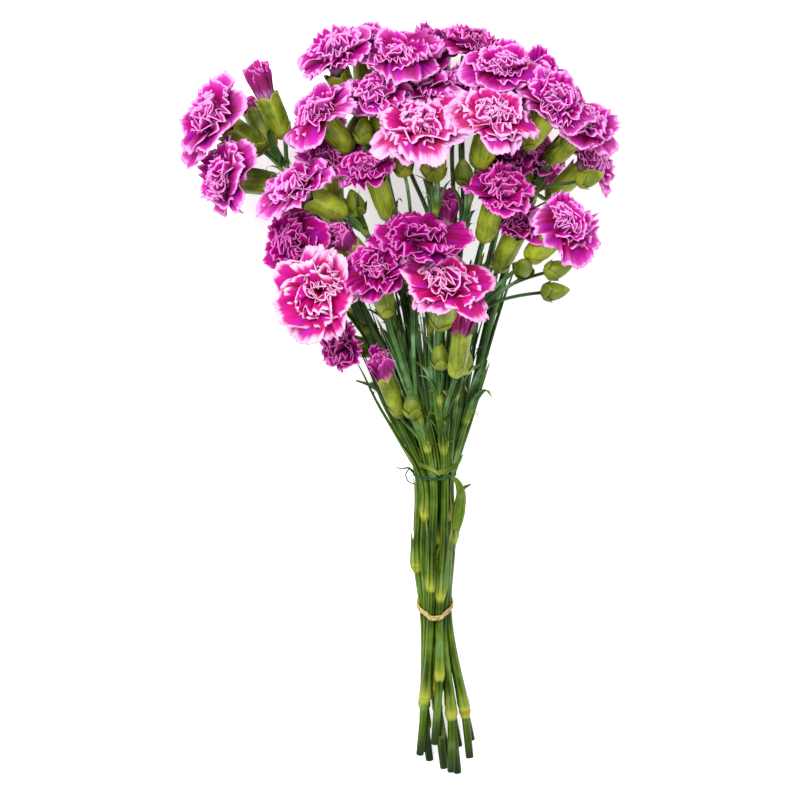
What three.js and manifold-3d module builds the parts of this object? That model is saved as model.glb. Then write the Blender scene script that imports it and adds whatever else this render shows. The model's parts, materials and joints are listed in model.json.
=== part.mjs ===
// A bunch of spray carnations lying on its side: twelve stems, tied with twine and a rubber band.
// Millimetres. +Y runs from the cut ends to the flowers, +Z is up, and the bunch lies on z = 0.

import * as THREE from 'three';
import { mergeVertices } from 'three/addons/utils/BufferGeometryUtils.js';
import Module from 'manifold-3d';

const wasm = await Module();
wasm.setup();

// Driving sizes
const clearance = 0.3;
const limbSides = 5;
const radii = { cut: 2.5, tie: 2.45, top: 1.8, side: 1.4, bud: 1.1 };
const knee = { swell: 1.4, before: 6, after: 4.2 };
const pedicelLead = { head: 8, bud: 3.2 };
const upperSteps = 7;
const sideStep = 26;

// Calyxes and a closed bud: outlines are [share of the length, radius], from the stalk outwards
const calyxLength = 20;
const calyxOutline = [[0, 2.2], [0.1, 4.6], [0.42, 6.3], [1, 6.6]];
const calyxRoom = 6.8;
const calyxDip = 1.2;
const slimOutline = [[0, 2], [0.1, 3.6], [0.45, 4.9], [1, 4.9]];
const slimRoom = 5.2;
const budLength = 17;
const budWidth = 12;
const budOutline = [[0, 1.6], [0.2, 4.8], [0.62, 5.8], [1, 0.8]];
const usualWidth = 43;
const girthRange = [0.85, 1.2];

// Heads: shares of the width from the middle of the petals down to the calyx and up to the core's top
const neckDrop = 0.2;
const coreRise = 0.1;
const coreRadius = { wide: 8, slim: 6.5 };
const petals = 5;
const petalThickness = 0.8;
const notch = 0.77;
const bore = { first: 4.4, step: 0.6, draw: 0.2 };
const ruffle = { degrees: 7, petal: 2.6, level: 1.7 };
const crownShape = { valley: 0.68, wave: 0.1, pace: 3.1, innerRadius: 0.4, innerHeight: 0.8, twist: 0.6 };
const pressedFlat = 0.9;

// The tied part of the bunch, at the cut ends, the rubber band and the twine. Stems lie in a fan
// at the cut ends, where they rest on the surface.
const bundle = {
  y: [-240, -133, -49],
  x: [28, 22, 21],
  z: [13.6, 31, 43],
  spacing: [13, 5.28, 6.3],
  flatness: [0.55, 1, 1],
  turn: [-50, 0, 18],
};
const ties = {
  band: { y: bundle.y[1], width: 3.6, thick: 1.5, steps: 20, sides: 6 },
  twine: {
    y: bundle.y[2], radius: 0.65, pitch: 1.1, steps: 16, sides: 4,
    tails: [
      [[-0.6, 0, 0], [-4, 2, 2], [-9, 1.5, 4], [-13, 4, 4]],
      [[-0.6, -0.5, 0], [-3, -3, 3], [-5, -8, 3], [-3, -12, 2]],
    ],
  },
};

// Dishes of petals: lean from the flower's axis, reach as a share of its radius, seat above the calyx
const forms = {
  wide: {
    dishes: [
      { lean: 88, reach: 1.04, seat: 1, lobe: 3 },
      { lean: 60, reach: 1.06, seat: 3, lobe: 3 },
      { lean: 35, reach: 1.04, seat: 5, lobe: 3 },
    ],
    crown: { radius: 0.4, height: 1, seat: 7 },
  },
  full: {
    dishes: [
      { lean: 82, reach: 1.04, seat: 1, lobe: 3 },
      { lean: 47, reach: 1.08, seat: 3.4, lobe: 3 },
    ],
    crown: { radius: 0.5, height: 1, seat: 5.8 },
  },
  small: {
    dishes: [{ lean: 62, reach: 1.08, seat: 1, lobe: 3 }],
    crown: { radius: 0.58, height: 1.05, seat: 3.4 },
  },
  half: { dishes: [], crown: { radius: 0.95, height: 1.6, seat: 1 } },
  tip: { dishes: [], crown: { radius: 0.8, height: 1.3, seat: 1 } },
};

// A flower head: the middle of its petals, the way it faces, its width, and the knee its stalk leaves
function head(at, faces, width, form, fork) {
  const way = new THREE.Vector3(...faces).normalize();
  return { at: new THREE.Vector3(...at), faces: way, width, form, fork };
}

// A closed bud, by its middle
function bud(at, faces, fork) {
  return head(at, faces, budWidth, 'bud', fork);
}

// A leaf from a knee, by the way it bends, its length and width, and how far it bends
function leaf(fork, out, length, width, spread = 1) {
  return { fork, out: new THREE.Vector3(...out).normalize(), length, width, spread };
}

// Each spray: its seat in the tied bundle in stem spacings, its cut end, the way its open part bows,
// and what it carries
const sprays = [
  {
    seat: [-1.5, -0.43], cut: -231, bow: [-10, 0, 0],
    leaves: [leaf(6, [0.3, 0.2, 1], 18, 5)],
    heads: [
      head([-118, 178, 66], [-0.8, 0.5, 0.25], 50, 'full'),
      head([-112, 141, 72], [-0.93, 0.1, 0.3], 48, 'full', 6),
      head([-87, 196, 62], [-0.4, 0.9, 0.1], 20, 'half', 6),
      head([-95, 187, 46], [-0.4, 0.9, -0.1], 14, 'tip', 6),
    ],
    buds: [],
  },
  {
    seat: [-1, 0.43], cut: -225, bow: [-9, 0, 0],
    leaves: [leaf(2, [-1, -0.2, 0.5], 28, 5)],
    heads: [
      head([-55, 66, 105], [-0.3, -0.1, 0.95], 56, 'wide'),
      head([-67, 97, 86], [-0.93, 0.08, 0.35], 44, 'full', 5),
      head([-35, 101, 80], [-0.62, 0.7, 0.35], 22, 'half', 5),
      head([-60, 118, 9], [-0.6, 0.3, -0.75], 44, 'full', 4),
    ],
    buds: [],
  },
  {
    seat: [-1, -1.3], cut: -234, bow: [-5, 0, 0],
    leaves: [leaf(3, [-1, 0, -0.3], 26, 5)],
    heads: [
      head([-66, 133, 100], [-0.85, 0.42, 0.3], 46, 'wide'),
      head([-44, 152, 78], [-0.1, 0.9, 0.4], 34, 'full', 6),
      head([-36, 35, 56], [-0.85, 0.1, 0.5], 36, 'small', 2),
      head([8, 100, 8], [0, 0.5, -0.85], 44, 'full', 4),
    ],
    buds: [bud([-29, 124, 85], [-0.3, 0.9, 0.3], 6)],
  },
  {
    seat: [0, -1.3], cut: -222,
    leaves: [leaf(6, [-0.6, 0, 0.8], 18, 5)],
    heads: [
      head([-44, 215, 76], [-0.4, 0.87, 0.3], 44, 'full'),
      head([-51, 183, 92], [-0.6, 0.7, 0.4], 44, 'full', 6),
      head([-25, 227, 52], [-0.05, 1, 0.05], 36, 'full', 6),
      head([-50, 166, 10], [-0.4, 0.6, -0.7], 44, 'full', 5),
    ],
    buds: [bud([-30, 170, 80], [0, 0.95, 0.3], 5)],
  },
  {
    seat: [-0.5, -0.43], cut: -236, bow: [6, 0, 0],
    leaves: [leaf(5, [-0.5, 0, 1], 20, 5)],
    heads: [
      head([-16, 194, 97], [0, 0.87, 0.5], 40, 'full'),
      head([-18, 147, 95], [-0.3, 0.9, 0.3], 38, 'full', 3),
      head([-2, 224, 78], [0.05, 0.95, 0.3], 44, 'full', 6),
    ],
    buds: [bud([-23, 170, 85], [0, 1, 0.1], 5), bud([1, 149, 100], [-0.2, 0.9, 0.3], 3)],
  },
  {
    seat: [0, 0.43], cut: -215, bow: [-8, 0, 0],
    leaves: [leaf(5, [0.2, 0, 1], 22, 5)],
    heads: [
      head([15, 174, 108], [-0.2, 0.92, 0.36], 52, 'wide'),
      head([25, 229, 42], [0, 1, -0.05], 38, 'full', 3),
      head([13, 213, 60], [0, 0.95, 0.3], 26, 'small', 5),
      head([14, 198, 78], [0, 0.9, 0.4], 32, 'small', 6),
      head([-10, 208, 12], [-0.1, 0.8, -0.6], 42, 'full', 5),
    ],
    buds: [],
  },
  {
    seat: [-0.5, 1.3], cut: -227,
    leaves: [leaf(1, [-0.5, 0, 1], 30, 6)],
    heads: [
      head([-14, 83, 108], [-0.18, 0.8, 0.57], 40, 'full'),
      head([9, 103, 112], [0.02, 0.88, 0.47], 50, 'wide', 2),
      head([-10, 18, 68], [-0.35, 0.9, 0.3], 22, 'half', 1),
    ],
    buds: [bud([6, -4, 64], [-0.1, 0.95, 0.2], 1)],
  },
  {
    seat: [0.5, -0.43], cut: -239,
    leaves: [leaf(5, [0.3, 0, 1], 22, 5)],
    heads: [
      head([59, 180, 110], [0.28, 0.88, 0.38], 50, 'wide'),
      head([47, 222, 62], [0.3, 0.93, 0.15], 36, 'full', 4),
      head([64, 210, 90], [0.1, 0.9, 0.4], 40, 'full', 6),
      head([39, 200, 64], [0, 0.9, 0.35], 30, 'small', 5),
      head([42, 196, 10], [0.1, 0.7, -0.7], 42, 'full', 5),
    ],
    buds: [bud([40, 144, 100], [-0.1, 0.8, 0.5], 5)],
  },
  {
    seat: [1, -1.3], cut: -218, bow: [5, 0, 0],
    leaves: [leaf(3, [0.6, 0, -1], 24, 5)],
    heads: [
      head([84, 203, 72], [0.3, 0.9, 0.3], 42, 'full'),
      head([98, 187, 94], [0.5, 0.75, 0.4], 42, 'full', 6),
      head([90, 178, 48], [0.4, 0.85, 0], 34, 'small', 6),
      head([67, 152, 62], [0.1, 0.9, 0.3], 32, 'small', 3),
      head([86, 150, 9], [0.5, 0.4, -0.75], 44, 'full', 5),
    ],
    buds: [],
  },
  {
    seat: [1.5, -0.43], cut: -229, bow: [8, 0, 0],
    leaves: [leaf(1, [0.5, 0, 1], 58, 8, 0.35), leaf(5, [1, 0, 0], 24, 5)],
    heads: [
      head([115, 175, 74], [0.65, 0.68, 0.33], 43, 'full'),
      head([119, 152, 48], [0.7, 0.65, 0.2], 38, 'full', 6),
      head([86, 152, 54], [0.3, 0.9, 0.2], 30, 'small', 5),
    ],
    buds: [bud([119, 141, 66], [0.95, 0.25, 0.1], 6)],
  },
  {
    seat: [1, 0.43], cut: -238,
    leaves: [leaf(2, [0.9, 0, 0.6], 30, 6)],
    heads: [
      head([62, 133, 100], [0.28, 0.9, 0.33], 42, 'full'),
      head([77, 112, 82], [0.38, 0.83, 0.37], 40, 'full', 4),
      head([104, 111, 90], [0.68, 0.65, 0.35], 46, 'wide', 4),
    ],
    buds: [
      bud([97, 69, 70], [0.97, 0.1, 0.1], 4),
      bud([97, 84, 80], [0.95, 0.25, 0.1], 4),
      bud([79, 84, 90], [0, 0.35, 0.94], 4),
    ],
  },
  {
    seat: [0.5, 1.3], cut: -220,
    leaves: [leaf(1, [0.3, 0, 1], 30, 6)],
    heads: [
      head([29, 76, 118], [0.15, 0.72, 0.68], 54, 'wide'),
      head([37, 46, 88], [0.15, 0.97, 0.15], 22, 'half', 2),
      head([28, 116, 74], [0.05, 1, 0], 24, 'half', 2),
    ],
    buds: [bud([39, 24, 78], [0.1, 0.95, 0.2], 2), bud([28, 27, 84], [-0.1, 0.95, 0.2], 3)],
  },
];

const mix = (from, to, share) => from + (to - from) * share;
const isBud = (flower) => flower.form === 'bud';
const isSlim = (flower) => flower.form === 'tip' || flower.form === 'half';
const bodyLength = (flower) => (isBud(flower) ? budLength : calyxLength);
const bodyRadius = (flower) => (isSlim(flower) ? slimRoom : calyxRoom * girth(flower));

// How stout a calyx is: wide flowers have stouter ones
function girth(flower) {
  if (isBud(flower) || isSlim(flower)) return 1;
  return THREE.MathUtils.clamp(flower.width / usualWidth, ...girthRange);
}

// The mouth of the calyx, or a bud's tip, the end of the stalk below it, and the top of the head's core
function neckOf(flower) {
  const rise = isBud(flower) ? budLength / 2 : -neckDrop * flower.width;
  return flower.at.clone().addScaledVector(flower.faces, rise);
}
function baseOf(flower) {
  return neckOf(flower).addScaledVector(flower.faces, -bodyLength(flower));
}
function coreTopOf(flower) {
  return flower.at.clone().addScaledVector(flower.faces, coreRise * flower.width);
}

// The closest points of two straight pieces, as shares along each
function closestShares(a, b, c, d) {
  const along = b.clone().sub(a);
  const other = d.clone().sub(c);
  const between = a.clone().sub(c);
  const aa = along.dot(along);
  const bb = other.dot(other);
  const ab = along.dot(other);
  const fromA = along.dot(between);
  const fromB = other.dot(between);
  const spread = aa * bb - ab * ab;
  const limit = (value) => Math.min(1, Math.max(0, value));
  let s = spread > 1e-9 ? limit((ab * fromB - fromA * bb) / spread) : 0;
  let t = (ab * s + fromB) / bb;
  if (t < 0) {
    t = 0;
    s = limit(-fromA / aa);
  } else if (t > 1) {
    t = 1;
    s = limit((ab - fromA) / aa);
  }
  return [s, t];
}

// Heads and buds make room for each other, mostly up and down, as they do in a hand-tied bunch
const flowers = sprays.flatMap((spray) => [...spray.heads, ...spray.buds]);
const settling = { rounds: 80, push: 0.25, sideways: 0.4, headRoom: 0.76, petalRoom: 0.28 };

function settle() {
  for (let round = 0; round < settling.rounds; round++) {
    const shifts = flowers.map(() => new THREE.Vector3());
    for (let i = 0; i < flowers.length; i++) {
      for (let j = i + 1; j < flowers.length; j++) {
        const one = flowers[i];
        const two = flowers[j];
        const push = (from, to, room) => {
          const away = from.clone().sub(to);
          const distance = away.length();
          if (distance >= room) return;
          away.multiplyScalar((settling.push * (room - distance)) / distance);
          away.x *= settling.sideways;
          away.y *= settling.sideways;
          shifts[i].add(away);
          shifts[j].sub(away);
        };
        const [baseA, neckA, baseB, neckB] = [baseOf(one), neckOf(one), baseOf(two), neckOf(two)];
        push(one.at, two.at, (settling.headRoom * (one.width + two.width)) / 2);
        const [s, t] = closestShares(baseA, one.at, baseB, two.at);
        const room = bodyRadius(one) + bodyRadius(two) + 2 * clearance;
        push(baseA.lerp(one.at, s), baseB.lerp(two.at, t), room);
        const [, u] = closestShares(one.at, neckA, baseOf(two), neckB);
        push(one.at, baseOf(two).lerp(neckB, u), settling.petalRoom * one.width + bodyRadius(two));
        const [, v] = closestShares(two.at, neckB, baseOf(one), neckA);
        push(baseOf(one).lerp(neckA, v), two.at, settling.petalRoom * two.width + bodyRadius(one));
      }
    }
    flowers.forEach((flower, i) => {
      flower.at.add(shifts[i]);
      const lowest = Math.min(baseOf(flower).z, neckOf(flower).z) - bodyRadius(flower) - clearance;
      if (lowest < 0) flower.at.z -= lowest;
    });
  }
}
settle();

// Limbs are chains of joints. A joint keeps its place, its radius, and whether it is held there.
const joints = [];
const limbs = [];
function joint(at, radius, held = false) {
  joints.push({ at, home: at.clone(), radius, held, knee: false });
  return joints.length - 1;
}

// The outline of a calyx or bud as held joints, from the stalk's end outwards
function bodyJoints(flower) {
  const outline = isBud(flower) ? budOutline : isSlim(flower) ? slimOutline : calyxOutline;
  const base = baseOf(flower);
  const length = bodyLength(flower);
  return outline.map(([share, radius]) => (
    joint(base.clone().addScaledVector(flower.faces, share * length), radius * girth(flower), true)
  ));
}

// A value given at the cut ends, the band and the twine, read off between them
function tied(values, y) {
  const [low, middle, high] = bundle.y;
  if (y < middle) return mix(values[0], values[1], (y - low) / (middle - low));
  return mix(values[1], values[2], (y - middle) / (high - middle));
}

function bundlePoint([across, rise], y) {
  const spot = new THREE.Vector3(across, 0, rise).multiplyScalar(tied(bundle.spacing, y));
  spot.applyAxisAngle(new THREE.Vector3(0, 1, 0), THREE.MathUtils.degToRad(tied(bundle.turn, y)));
  spot.z *= tied(bundle.flatness, y);
  return spot.add(new THREE.Vector3(tied(bundle.x, y), y, tied(bundle.z, y)));
}

// A smooth way from one place and direction to another, bowed sideways, as points
function curve(from, fromWay, to, toWay, steps, bow = [0, 0, 0]) {
  const sideways = new THREE.Vector3(...bow);
  const bezier = new THREE.CubicBezierCurve3(
    from,
    from.clone().addScaledVector(fromWay, 1 / 3).add(sideways),
    to.clone().addScaledVector(toWay, -1 / 3).add(sideways),
    to,
  );
  return bezier.getPoints(steps);
}

// Knees of the tied part, staggered from stem to stem: the first above the cut end, the next above the band
const lowerKnee = { above: 22, stagger: 7, pace: 5, steps: 4 };
const upperKnee = { above: 25, stagger: 6, pace: 7, steps: 5 };
const kneeHeight = ({ above, stagger, pace, steps }, from, index) => (
  from + above + stagger * ((index * pace) % steps)
);

// How strongly a stem keeps its way: out of the bundle, towards its flower, into the flower, and at a fork
const pull = { bundle: 0.5, reach: 0.75, arrive: 0.7, fork: 0.7, sideArrive: 0.8 };

// The main stem: cut end, knees in the tied part, then the open part up to its own flower. The band
// holds every stem in its place.
function mainLimb(spray, index) {
  const chain = [];
  const [, bandY, twineY] = bundle.y;
  const heights = [
    [spray.cut, false],
    [kneeHeight(lowerKnee, spray.cut, index), true],
    [bandY, false],
    [kneeHeight(upperKnee, bandY, index), true],
    [twineY, false],
  ];
  for (const [y, isKnee] of heights) {
    const share = (y - spray.cut) / (twineY - spray.cut);
    const radius = mix(radii.cut, radii.tie, share) * (isKnee ? knee.swell : 1);
    chain.push(joint(bundlePoint(spray.seat, y), radius, y === bandY));
    joints[chain.at(-1)].knee = isKnee;
  }
  const flower = spray.heads[0];
  const from = bundlePoint(spray.seat, twineY);
  const to = baseOf(flower).addScaledVector(flower.faces, -pedicelLead.head);
  const reach = to.clone().sub(from);
  const leave = from.clone().sub(bundlePoint(spray.seat, bandY)).normalize();
  leave.multiplyScalar(pull.bundle * reach.length()).addScaledVector(reach, pull.reach);
  const way = flower.faces.clone().multiplyScalar(pull.arrive * reach.length());
  const forks = [...spray.heads, ...spray.buds, ...spray.leaves].map((each) => each.fork);
  curve(from, leave, to, way, upperSteps, spray.bow).slice(1).forEach((point, step) => {
    const isKnee = forks.includes(step + 1);
    const radius = mix(radii.tie, radii.top, (step + 1) / upperSteps) * (isKnee ? knee.swell : 1);
    chain.push(joint(point, radius, step + 1 === upperSteps));
    joints[chain.at(-1)].knee = isKnee;
  });
  spray.forkAt = (fork) => chain[heights.length - 1 + fork];
  limbs.push({ spray: index, flower, chain: [...chain, ...bodyJoints(flower)] });
}

// A side stalk from a knee of the main stem to a head or bud
function sideLimb(spray, index, flower) {
  const start = spray.forkAt(flower.fork);
  const from = joints[start].at;
  const lead = isBud(flower) ? pedicelLead.bud : pedicelLead.head;
  const to = baseOf(flower).addScaledVector(flower.faces, -lead);
  const reach = to.distanceTo(from);
  const leave = from.clone().sub(joints[start - 1].at).normalize().multiplyScalar(pull.fork * reach);
  const way = flower.faces.clone().multiplyScalar(pull.sideArrive * reach);
  const steps = Math.max(2, Math.round(reach / sideStep));
  const radius = isBud(flower) ? radii.bud : radii.side;
  const points = curve(from, leave, to, way, steps).slice(1);
  const chain = points.map((point, step) => joint(point, radius, step + 1 === steps));
  limbs.push({ spray: index, flower, chain: [start, ...chain, ...bodyJoints(flower)], rootRadius: radius });
}

// A leaf leaves its knee beside the stem and bends outwards
const leafOutline = [0.6, 1, 0.85, 0.12];
const leafThickness = 0.9;
const leafRoom = 1.4;
const leafBend = { shorten: 0.3, out: 0.16, curl: 0.4 };

function leafLimb(spray, index, blade) {
  const start = spray.forkAt(blade.fork);
  const from = joints[start].at;
  const along = from.clone().sub(joints[start - 1].at).normalize();
  const chain = [start];
  for (let step = 1; step < leafOutline.length; step++) {
    const share = step / (leafOutline.length - 1);
    const length = blade.length * share;
    const point = from.clone().addScaledVector(along, length * (1 - leafBend.shorten * share));
    point.addScaledVector(blade.out, blade.spread * length * (leafBend.out + leafBend.curl * share));
    chain.push(joint(point, leafRoom));
  }
  limbs.push({ spray: index, blade, chain, rootRadius: leafRoom });
}

sprays.forEach((spray, index) => {
  mainLimb(spray, index);
  [...spray.heads.slice(1), ...spray.buds].forEach((flower) => sideLimb(spray, index, flower));
  spray.leaves.forEach((blade) => leafLimb(spray, index, blade));
});
const carriesHead = (limb) => limb.flower && !isBud(limb.flower);

// Straight pieces between joints, and the core of each head, which no stem runs through
const pieces = [];
limbs.forEach((limb, index) => {
  for (let i = 0; i + 1 < limb.chain.length; i++) {
    pieces.push({ limb: index, spray: limb.spray, ends: [limb.chain[i], limb.chain[i + 1]], core: false });
  }
  if (!carriesHead(limb)) return;
  const radius = isSlim(limb.flower) ? coreRadius.slim : coreRadius.wide;
  const neck = joint(neckOf(limb.flower), radius, true);
  const top = joint(coreTopOf(limb.flower), radius, true);
  pieces.push({ limb: index, spray: limb.spray, ends: [neck, top], core: true });
});

const relaxing = { rounds: 160, lastRounds: 40, closeBy: 30, calming: 0.2, push: 0.5, extra: 0.05 };

function pieceGap(one, two) {
  const [a, b] = one.ends.map((end) => joints[end]);
  const [c, d] = two.ends.map((end) => joints[end]);
  const [s, t] = closestShares(a.at, b.at, c.at, d.at);
  const away = a.at.clone().lerp(b.at, s).sub(c.at.clone().lerp(d.at, t));
  const room = mix(a.radius, b.radius, s) + mix(c.radius, d.radius, t) + clearance;
  return { s, t, away, short: room - away.length() };
}

// Stems bend clear of each other and of the flower heads, and stay above the surface
function relax() {
  const pairs = [];
  for (let i = 0; i < pieces.length; i++) {
    for (let j = i + 1; j < pieces.length; j++) {
      const [one, two] = [pieces[i], pieces[j]];
      const together = one.spray === two.spray && !one.core && !two.core;
      if (together || one.limb === two.limb) continue;
      if ([...one.ends, ...two.ends].every((end) => joints[end].held)) continue;
      if (pieceGap(one, two).short > -relaxing.closeBy) pairs.push([one, two]);
    }
  }
  for (let round = 0; round < relaxing.rounds; round++) {
    const shifts = joints.map(() => new THREE.Vector3());
    for (const [one, two] of pairs) {
      const { s, t, away, short } = pieceGap(one, two);
      if (short <= 0) continue;
      const push = away.normalize().multiplyScalar(relaxing.push * (short + relaxing.extra));
      shifts[one.ends[0]].addScaledVector(push, 1 - s);
      shifts[one.ends[1]].addScaledVector(push, s);
      shifts[two.ends[0]].addScaledVector(push, t - 1);
      shifts[two.ends[1]].addScaledVector(push, -t);
    }
    joints.forEach((each, index) => {
      if (!each.held) each.at.add(shifts[index]);
    });
    if (round < relaxing.rounds - relaxing.lastRounds) calm();
    for (const each of joints) {
      if (!each.held) each.at.z = Math.max(each.at.z, each.radius);
    }
  }
}

// Evens out how far the joints of a limb have moved, so that it stays a smooth curve
function calm() {
  for (const { chain } of limbs) {
    const moved = chain.map((end) => joints[end].at.clone().sub(joints[end].home));
    for (let i = 1; i + 1 < chain.length; i++) {
      const each = joints[chain[i]];
      if (each.held) continue;
      const mean = moved[i - 1].clone().add(moved[i + 1]).multiplyScalar(0.5);
      each.at.copy(each.home).add(moved[i].clone().lerp(mean, relaxing.calming));
    }
  }
}
relax();

// Solids from closed geometry, and back
function toSolid(geometry) {
  geometry.deleteAttribute('normal');
  geometry.deleteAttribute('uv');
  const welded = mergeVertices(geometry, 1e-4);
  return new wasm.Manifold(new wasm.Mesh({
    numProp: 3,
    vertProperties: welded.attributes.position.array,
    triVerts: new Uint32Array(welded.index.array),
  }));
}
function toGeometry(solid) {
  const mesh = solid.getMesh();
  const geometry = new THREE.BufferGeometry();
  geometry.setAttribute('position', new THREE.BufferAttribute(mesh.vertProperties, 3));
  geometry.setIndex(new THREE.BufferAttribute(mesh.triVerts, 1));
  return geometry;
}

// Two directions square to an axis, with side × axis = other
function acrossAxis(axis) {
  const helper = Math.abs(axis.z) < 0.9 ? new THREE.Vector3(0, 0, 1) : new THREE.Vector3(1, 0, 0);
  const side = helper.cross(axis).normalize();
  return [side, side.clone().cross(axis)];
}

// A capped cylinder bent along points, with a half width and half thickness at each. Its far cap
// sinks by dip.
function bend(points, { across, thick = across, firstSide, sides = limbSides, dip = 0 }) {
  const last = points.length - 1;
  const geometry = new THREE.CylinderGeometry(1, 1, 1, sides, last);
  const frames = [];
  points.forEach((point, i) => {
    const before = point.clone().sub(points[Math.max(i - 1, 0)]).normalize();
    const after = points[Math.min(i + 1, last)].clone().sub(point).normalize();
    const along = before.add(after).normalize();
    const start = firstSide ?? acrossAxis(along)[0];
    const side = (i > 0 ? frames[i - 1].side : start).clone().projectOnPlane(along).normalize();
    frames.push({ along, side, other: side.clone().cross(along) });
  });
  const place = geometry.attributes.position;
  for (let i = 0; i < place.count; i++) {
    const row = Math.round((place.getY(i) + 0.5) * last);
    const [x, z] = [place.getX(i) * across[row], place.getZ(i) * thick[row]];
    const { along, side, other } = frames[row];
    const point = points[row].clone().addScaledVector(side, x).addScaledVector(other, z);
    if (row === last && Math.hypot(x, z) < 1e-6) point.addScaledVector(along, -dip);
    place.setXYZ(i, point.x, point.y, point.z);
  }
  return toSolid(geometry);
}

// The rings of a limb: its joints, with a plain ring either side of each swollen knee
function limbSolid(limb) {
  const points = [];
  const across = [];
  limb.chain.forEach((end, i) => {
    const { at, radius, knee: isKnee } = joints[end];
    if (i === 0 && limb.rootRadius) {
      points.push(at.clone());
      across.push(limb.rootRadius);
      return;
    }
    const plain = radius / knee.swell;
    if (isKnee) {
      const previous = joints[limb.chain[i - 1]].at;
      points.push(at.clone().lerp(previous, knee.before / at.distanceTo(previous)));
      across.push(plain);
    }
    points.push(at.clone());
    across.push(radius);
    if (isKnee) {
      const next = joints[limb.chain[i + 1]].at;
      points.push(at.clone().lerp(next, knee.after / at.distanceTo(next)));
      across.push(plain);
    }
  });
  return bend(points, { across, dip: isBud(limb.flower) ? 0 : calyxDip });
}

function leafSolid({ blade, chain }) {
  const points = chain.map((end) => joints[end].at);
  const across = leafOutline.map((share) => (share * blade.width) / 2);
  const thick = leafOutline.map(() => leafThickness / 2);
  const firstSide = points[1].clone().sub(points[0]).cross(blade.out).normalize();
  return bend(points, { across, thick, firstSide, sides: 4 });
}

// Joins each ring of points to the next and closes both ends. Rings may differ in count.
function skin(rings) {
  const positions = rings.flat().flatMap((point) => point.toArray());
  const faces = [];
  let near = 0;
  for (let r = 0; r + 1 < rings.length; r++) {
    const nearCount = rings[r].length;
    const farCount = rings[r + 1].length;
    const far = near + nearCount;
    let i = 0;
    let j = 0;
    while (i < nearCount || j < farCount) {
      const lead = (i + 1) * farCount - (j + 1) * nearCount;
      const farIsNext = lead > 0 || (lead === 0 && farCount > nearCount);
      const [a, b] = [near + (i % nearCount), far + (j % farCount)];
      if (j < farCount && (i === nearCount || farIsNext)) {
        j += 1;
        if (farCount > 1) faces.push(a, far + (j % farCount), b);
      } else {
        i += 1;
        faces.push(a, near + (i % nearCount), b);
      }
    }
    near = far;
  }
  for (let i = 1; i + 1 < rings[0].length; i++) faces.push(0, i + 1, i);
  const geometry = new THREE.BufferGeometry();
  geometry.setAttribute('position', new THREE.Float32BufferAttribute(positions, 3));
  geometry.setIndex(faces);
  return geometry;
}

// The room a head has: flat limits, each a normal and a distance, that its petals stay behind
function cellOf(limb) {
  const { flower } = limb;
  const limits = [{ normal: new THREE.Vector3(0, 0, 1), from: -pressedFlat }];
  const neck = neckOf(flower);
  const top = coreTopOf(flower);
  for (const { flower: rival } of limbs.filter(carriesHead)) {
    if (rival === flower) continue;
    const away = flower.at.clone().sub(rival.at);
    const distance = away.length();
    if (distance > flower.width + rival.width) continue;
    const share = (distance ** 2 + rival.width ** 2 / 4 - flower.width ** 2 / 4) / (2 * distance ** 2);
    const normal = away.clone().divideScalar(distance);
    const border = rival.at.clone().addScaledVector(away, share);
    limits.push({ normal, from: normal.dot(border) + clearance / 2 });
  }
  for (const piece of pieces) {
    if (piece.core || (limbs[piece.limb] === limb && piece.ends[0] !== limb.chain[0])) continue;
    const [a, b] = piece.ends.map((end) => joints[end]);
    const [s, t] = closestShares(neck, top, a.at, b.at);
    const touch = a.at.clone().lerp(b.at, t);
    const normal = neck.clone().lerp(top, s).sub(touch);
    const distance = normal.length();
    if (distance > flower.width) continue;
    normal.divideScalar(distance);
    const { blade } = limbs[piece.limb];
    const breadth = blade ? blade.width / 2 : Math.max(a.radius, b.radius);
    limits.push({ normal, from: normal.dot(touch) + breadth + clearance });
  }
  return limits;
}

// How far along from a point towards another the limits let a petal reach
function allowed(limits, from, to, margin) {
  let share = 1;
  for (const { normal, from: edge } of limits) {
    const start = normal.dot(from) - edge - margin;
    const end = normal.dot(to) - edge - margin;
    if (end < 0) share = Math.min(share, Math.max(0, start / (start - end)));
  }
  return share;
}

// A head in one solid: dishes of notched petals one above another, and a ragged crown in the middle
const goldenAngle = Math.PI * (3 - Math.sqrt(5));

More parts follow.
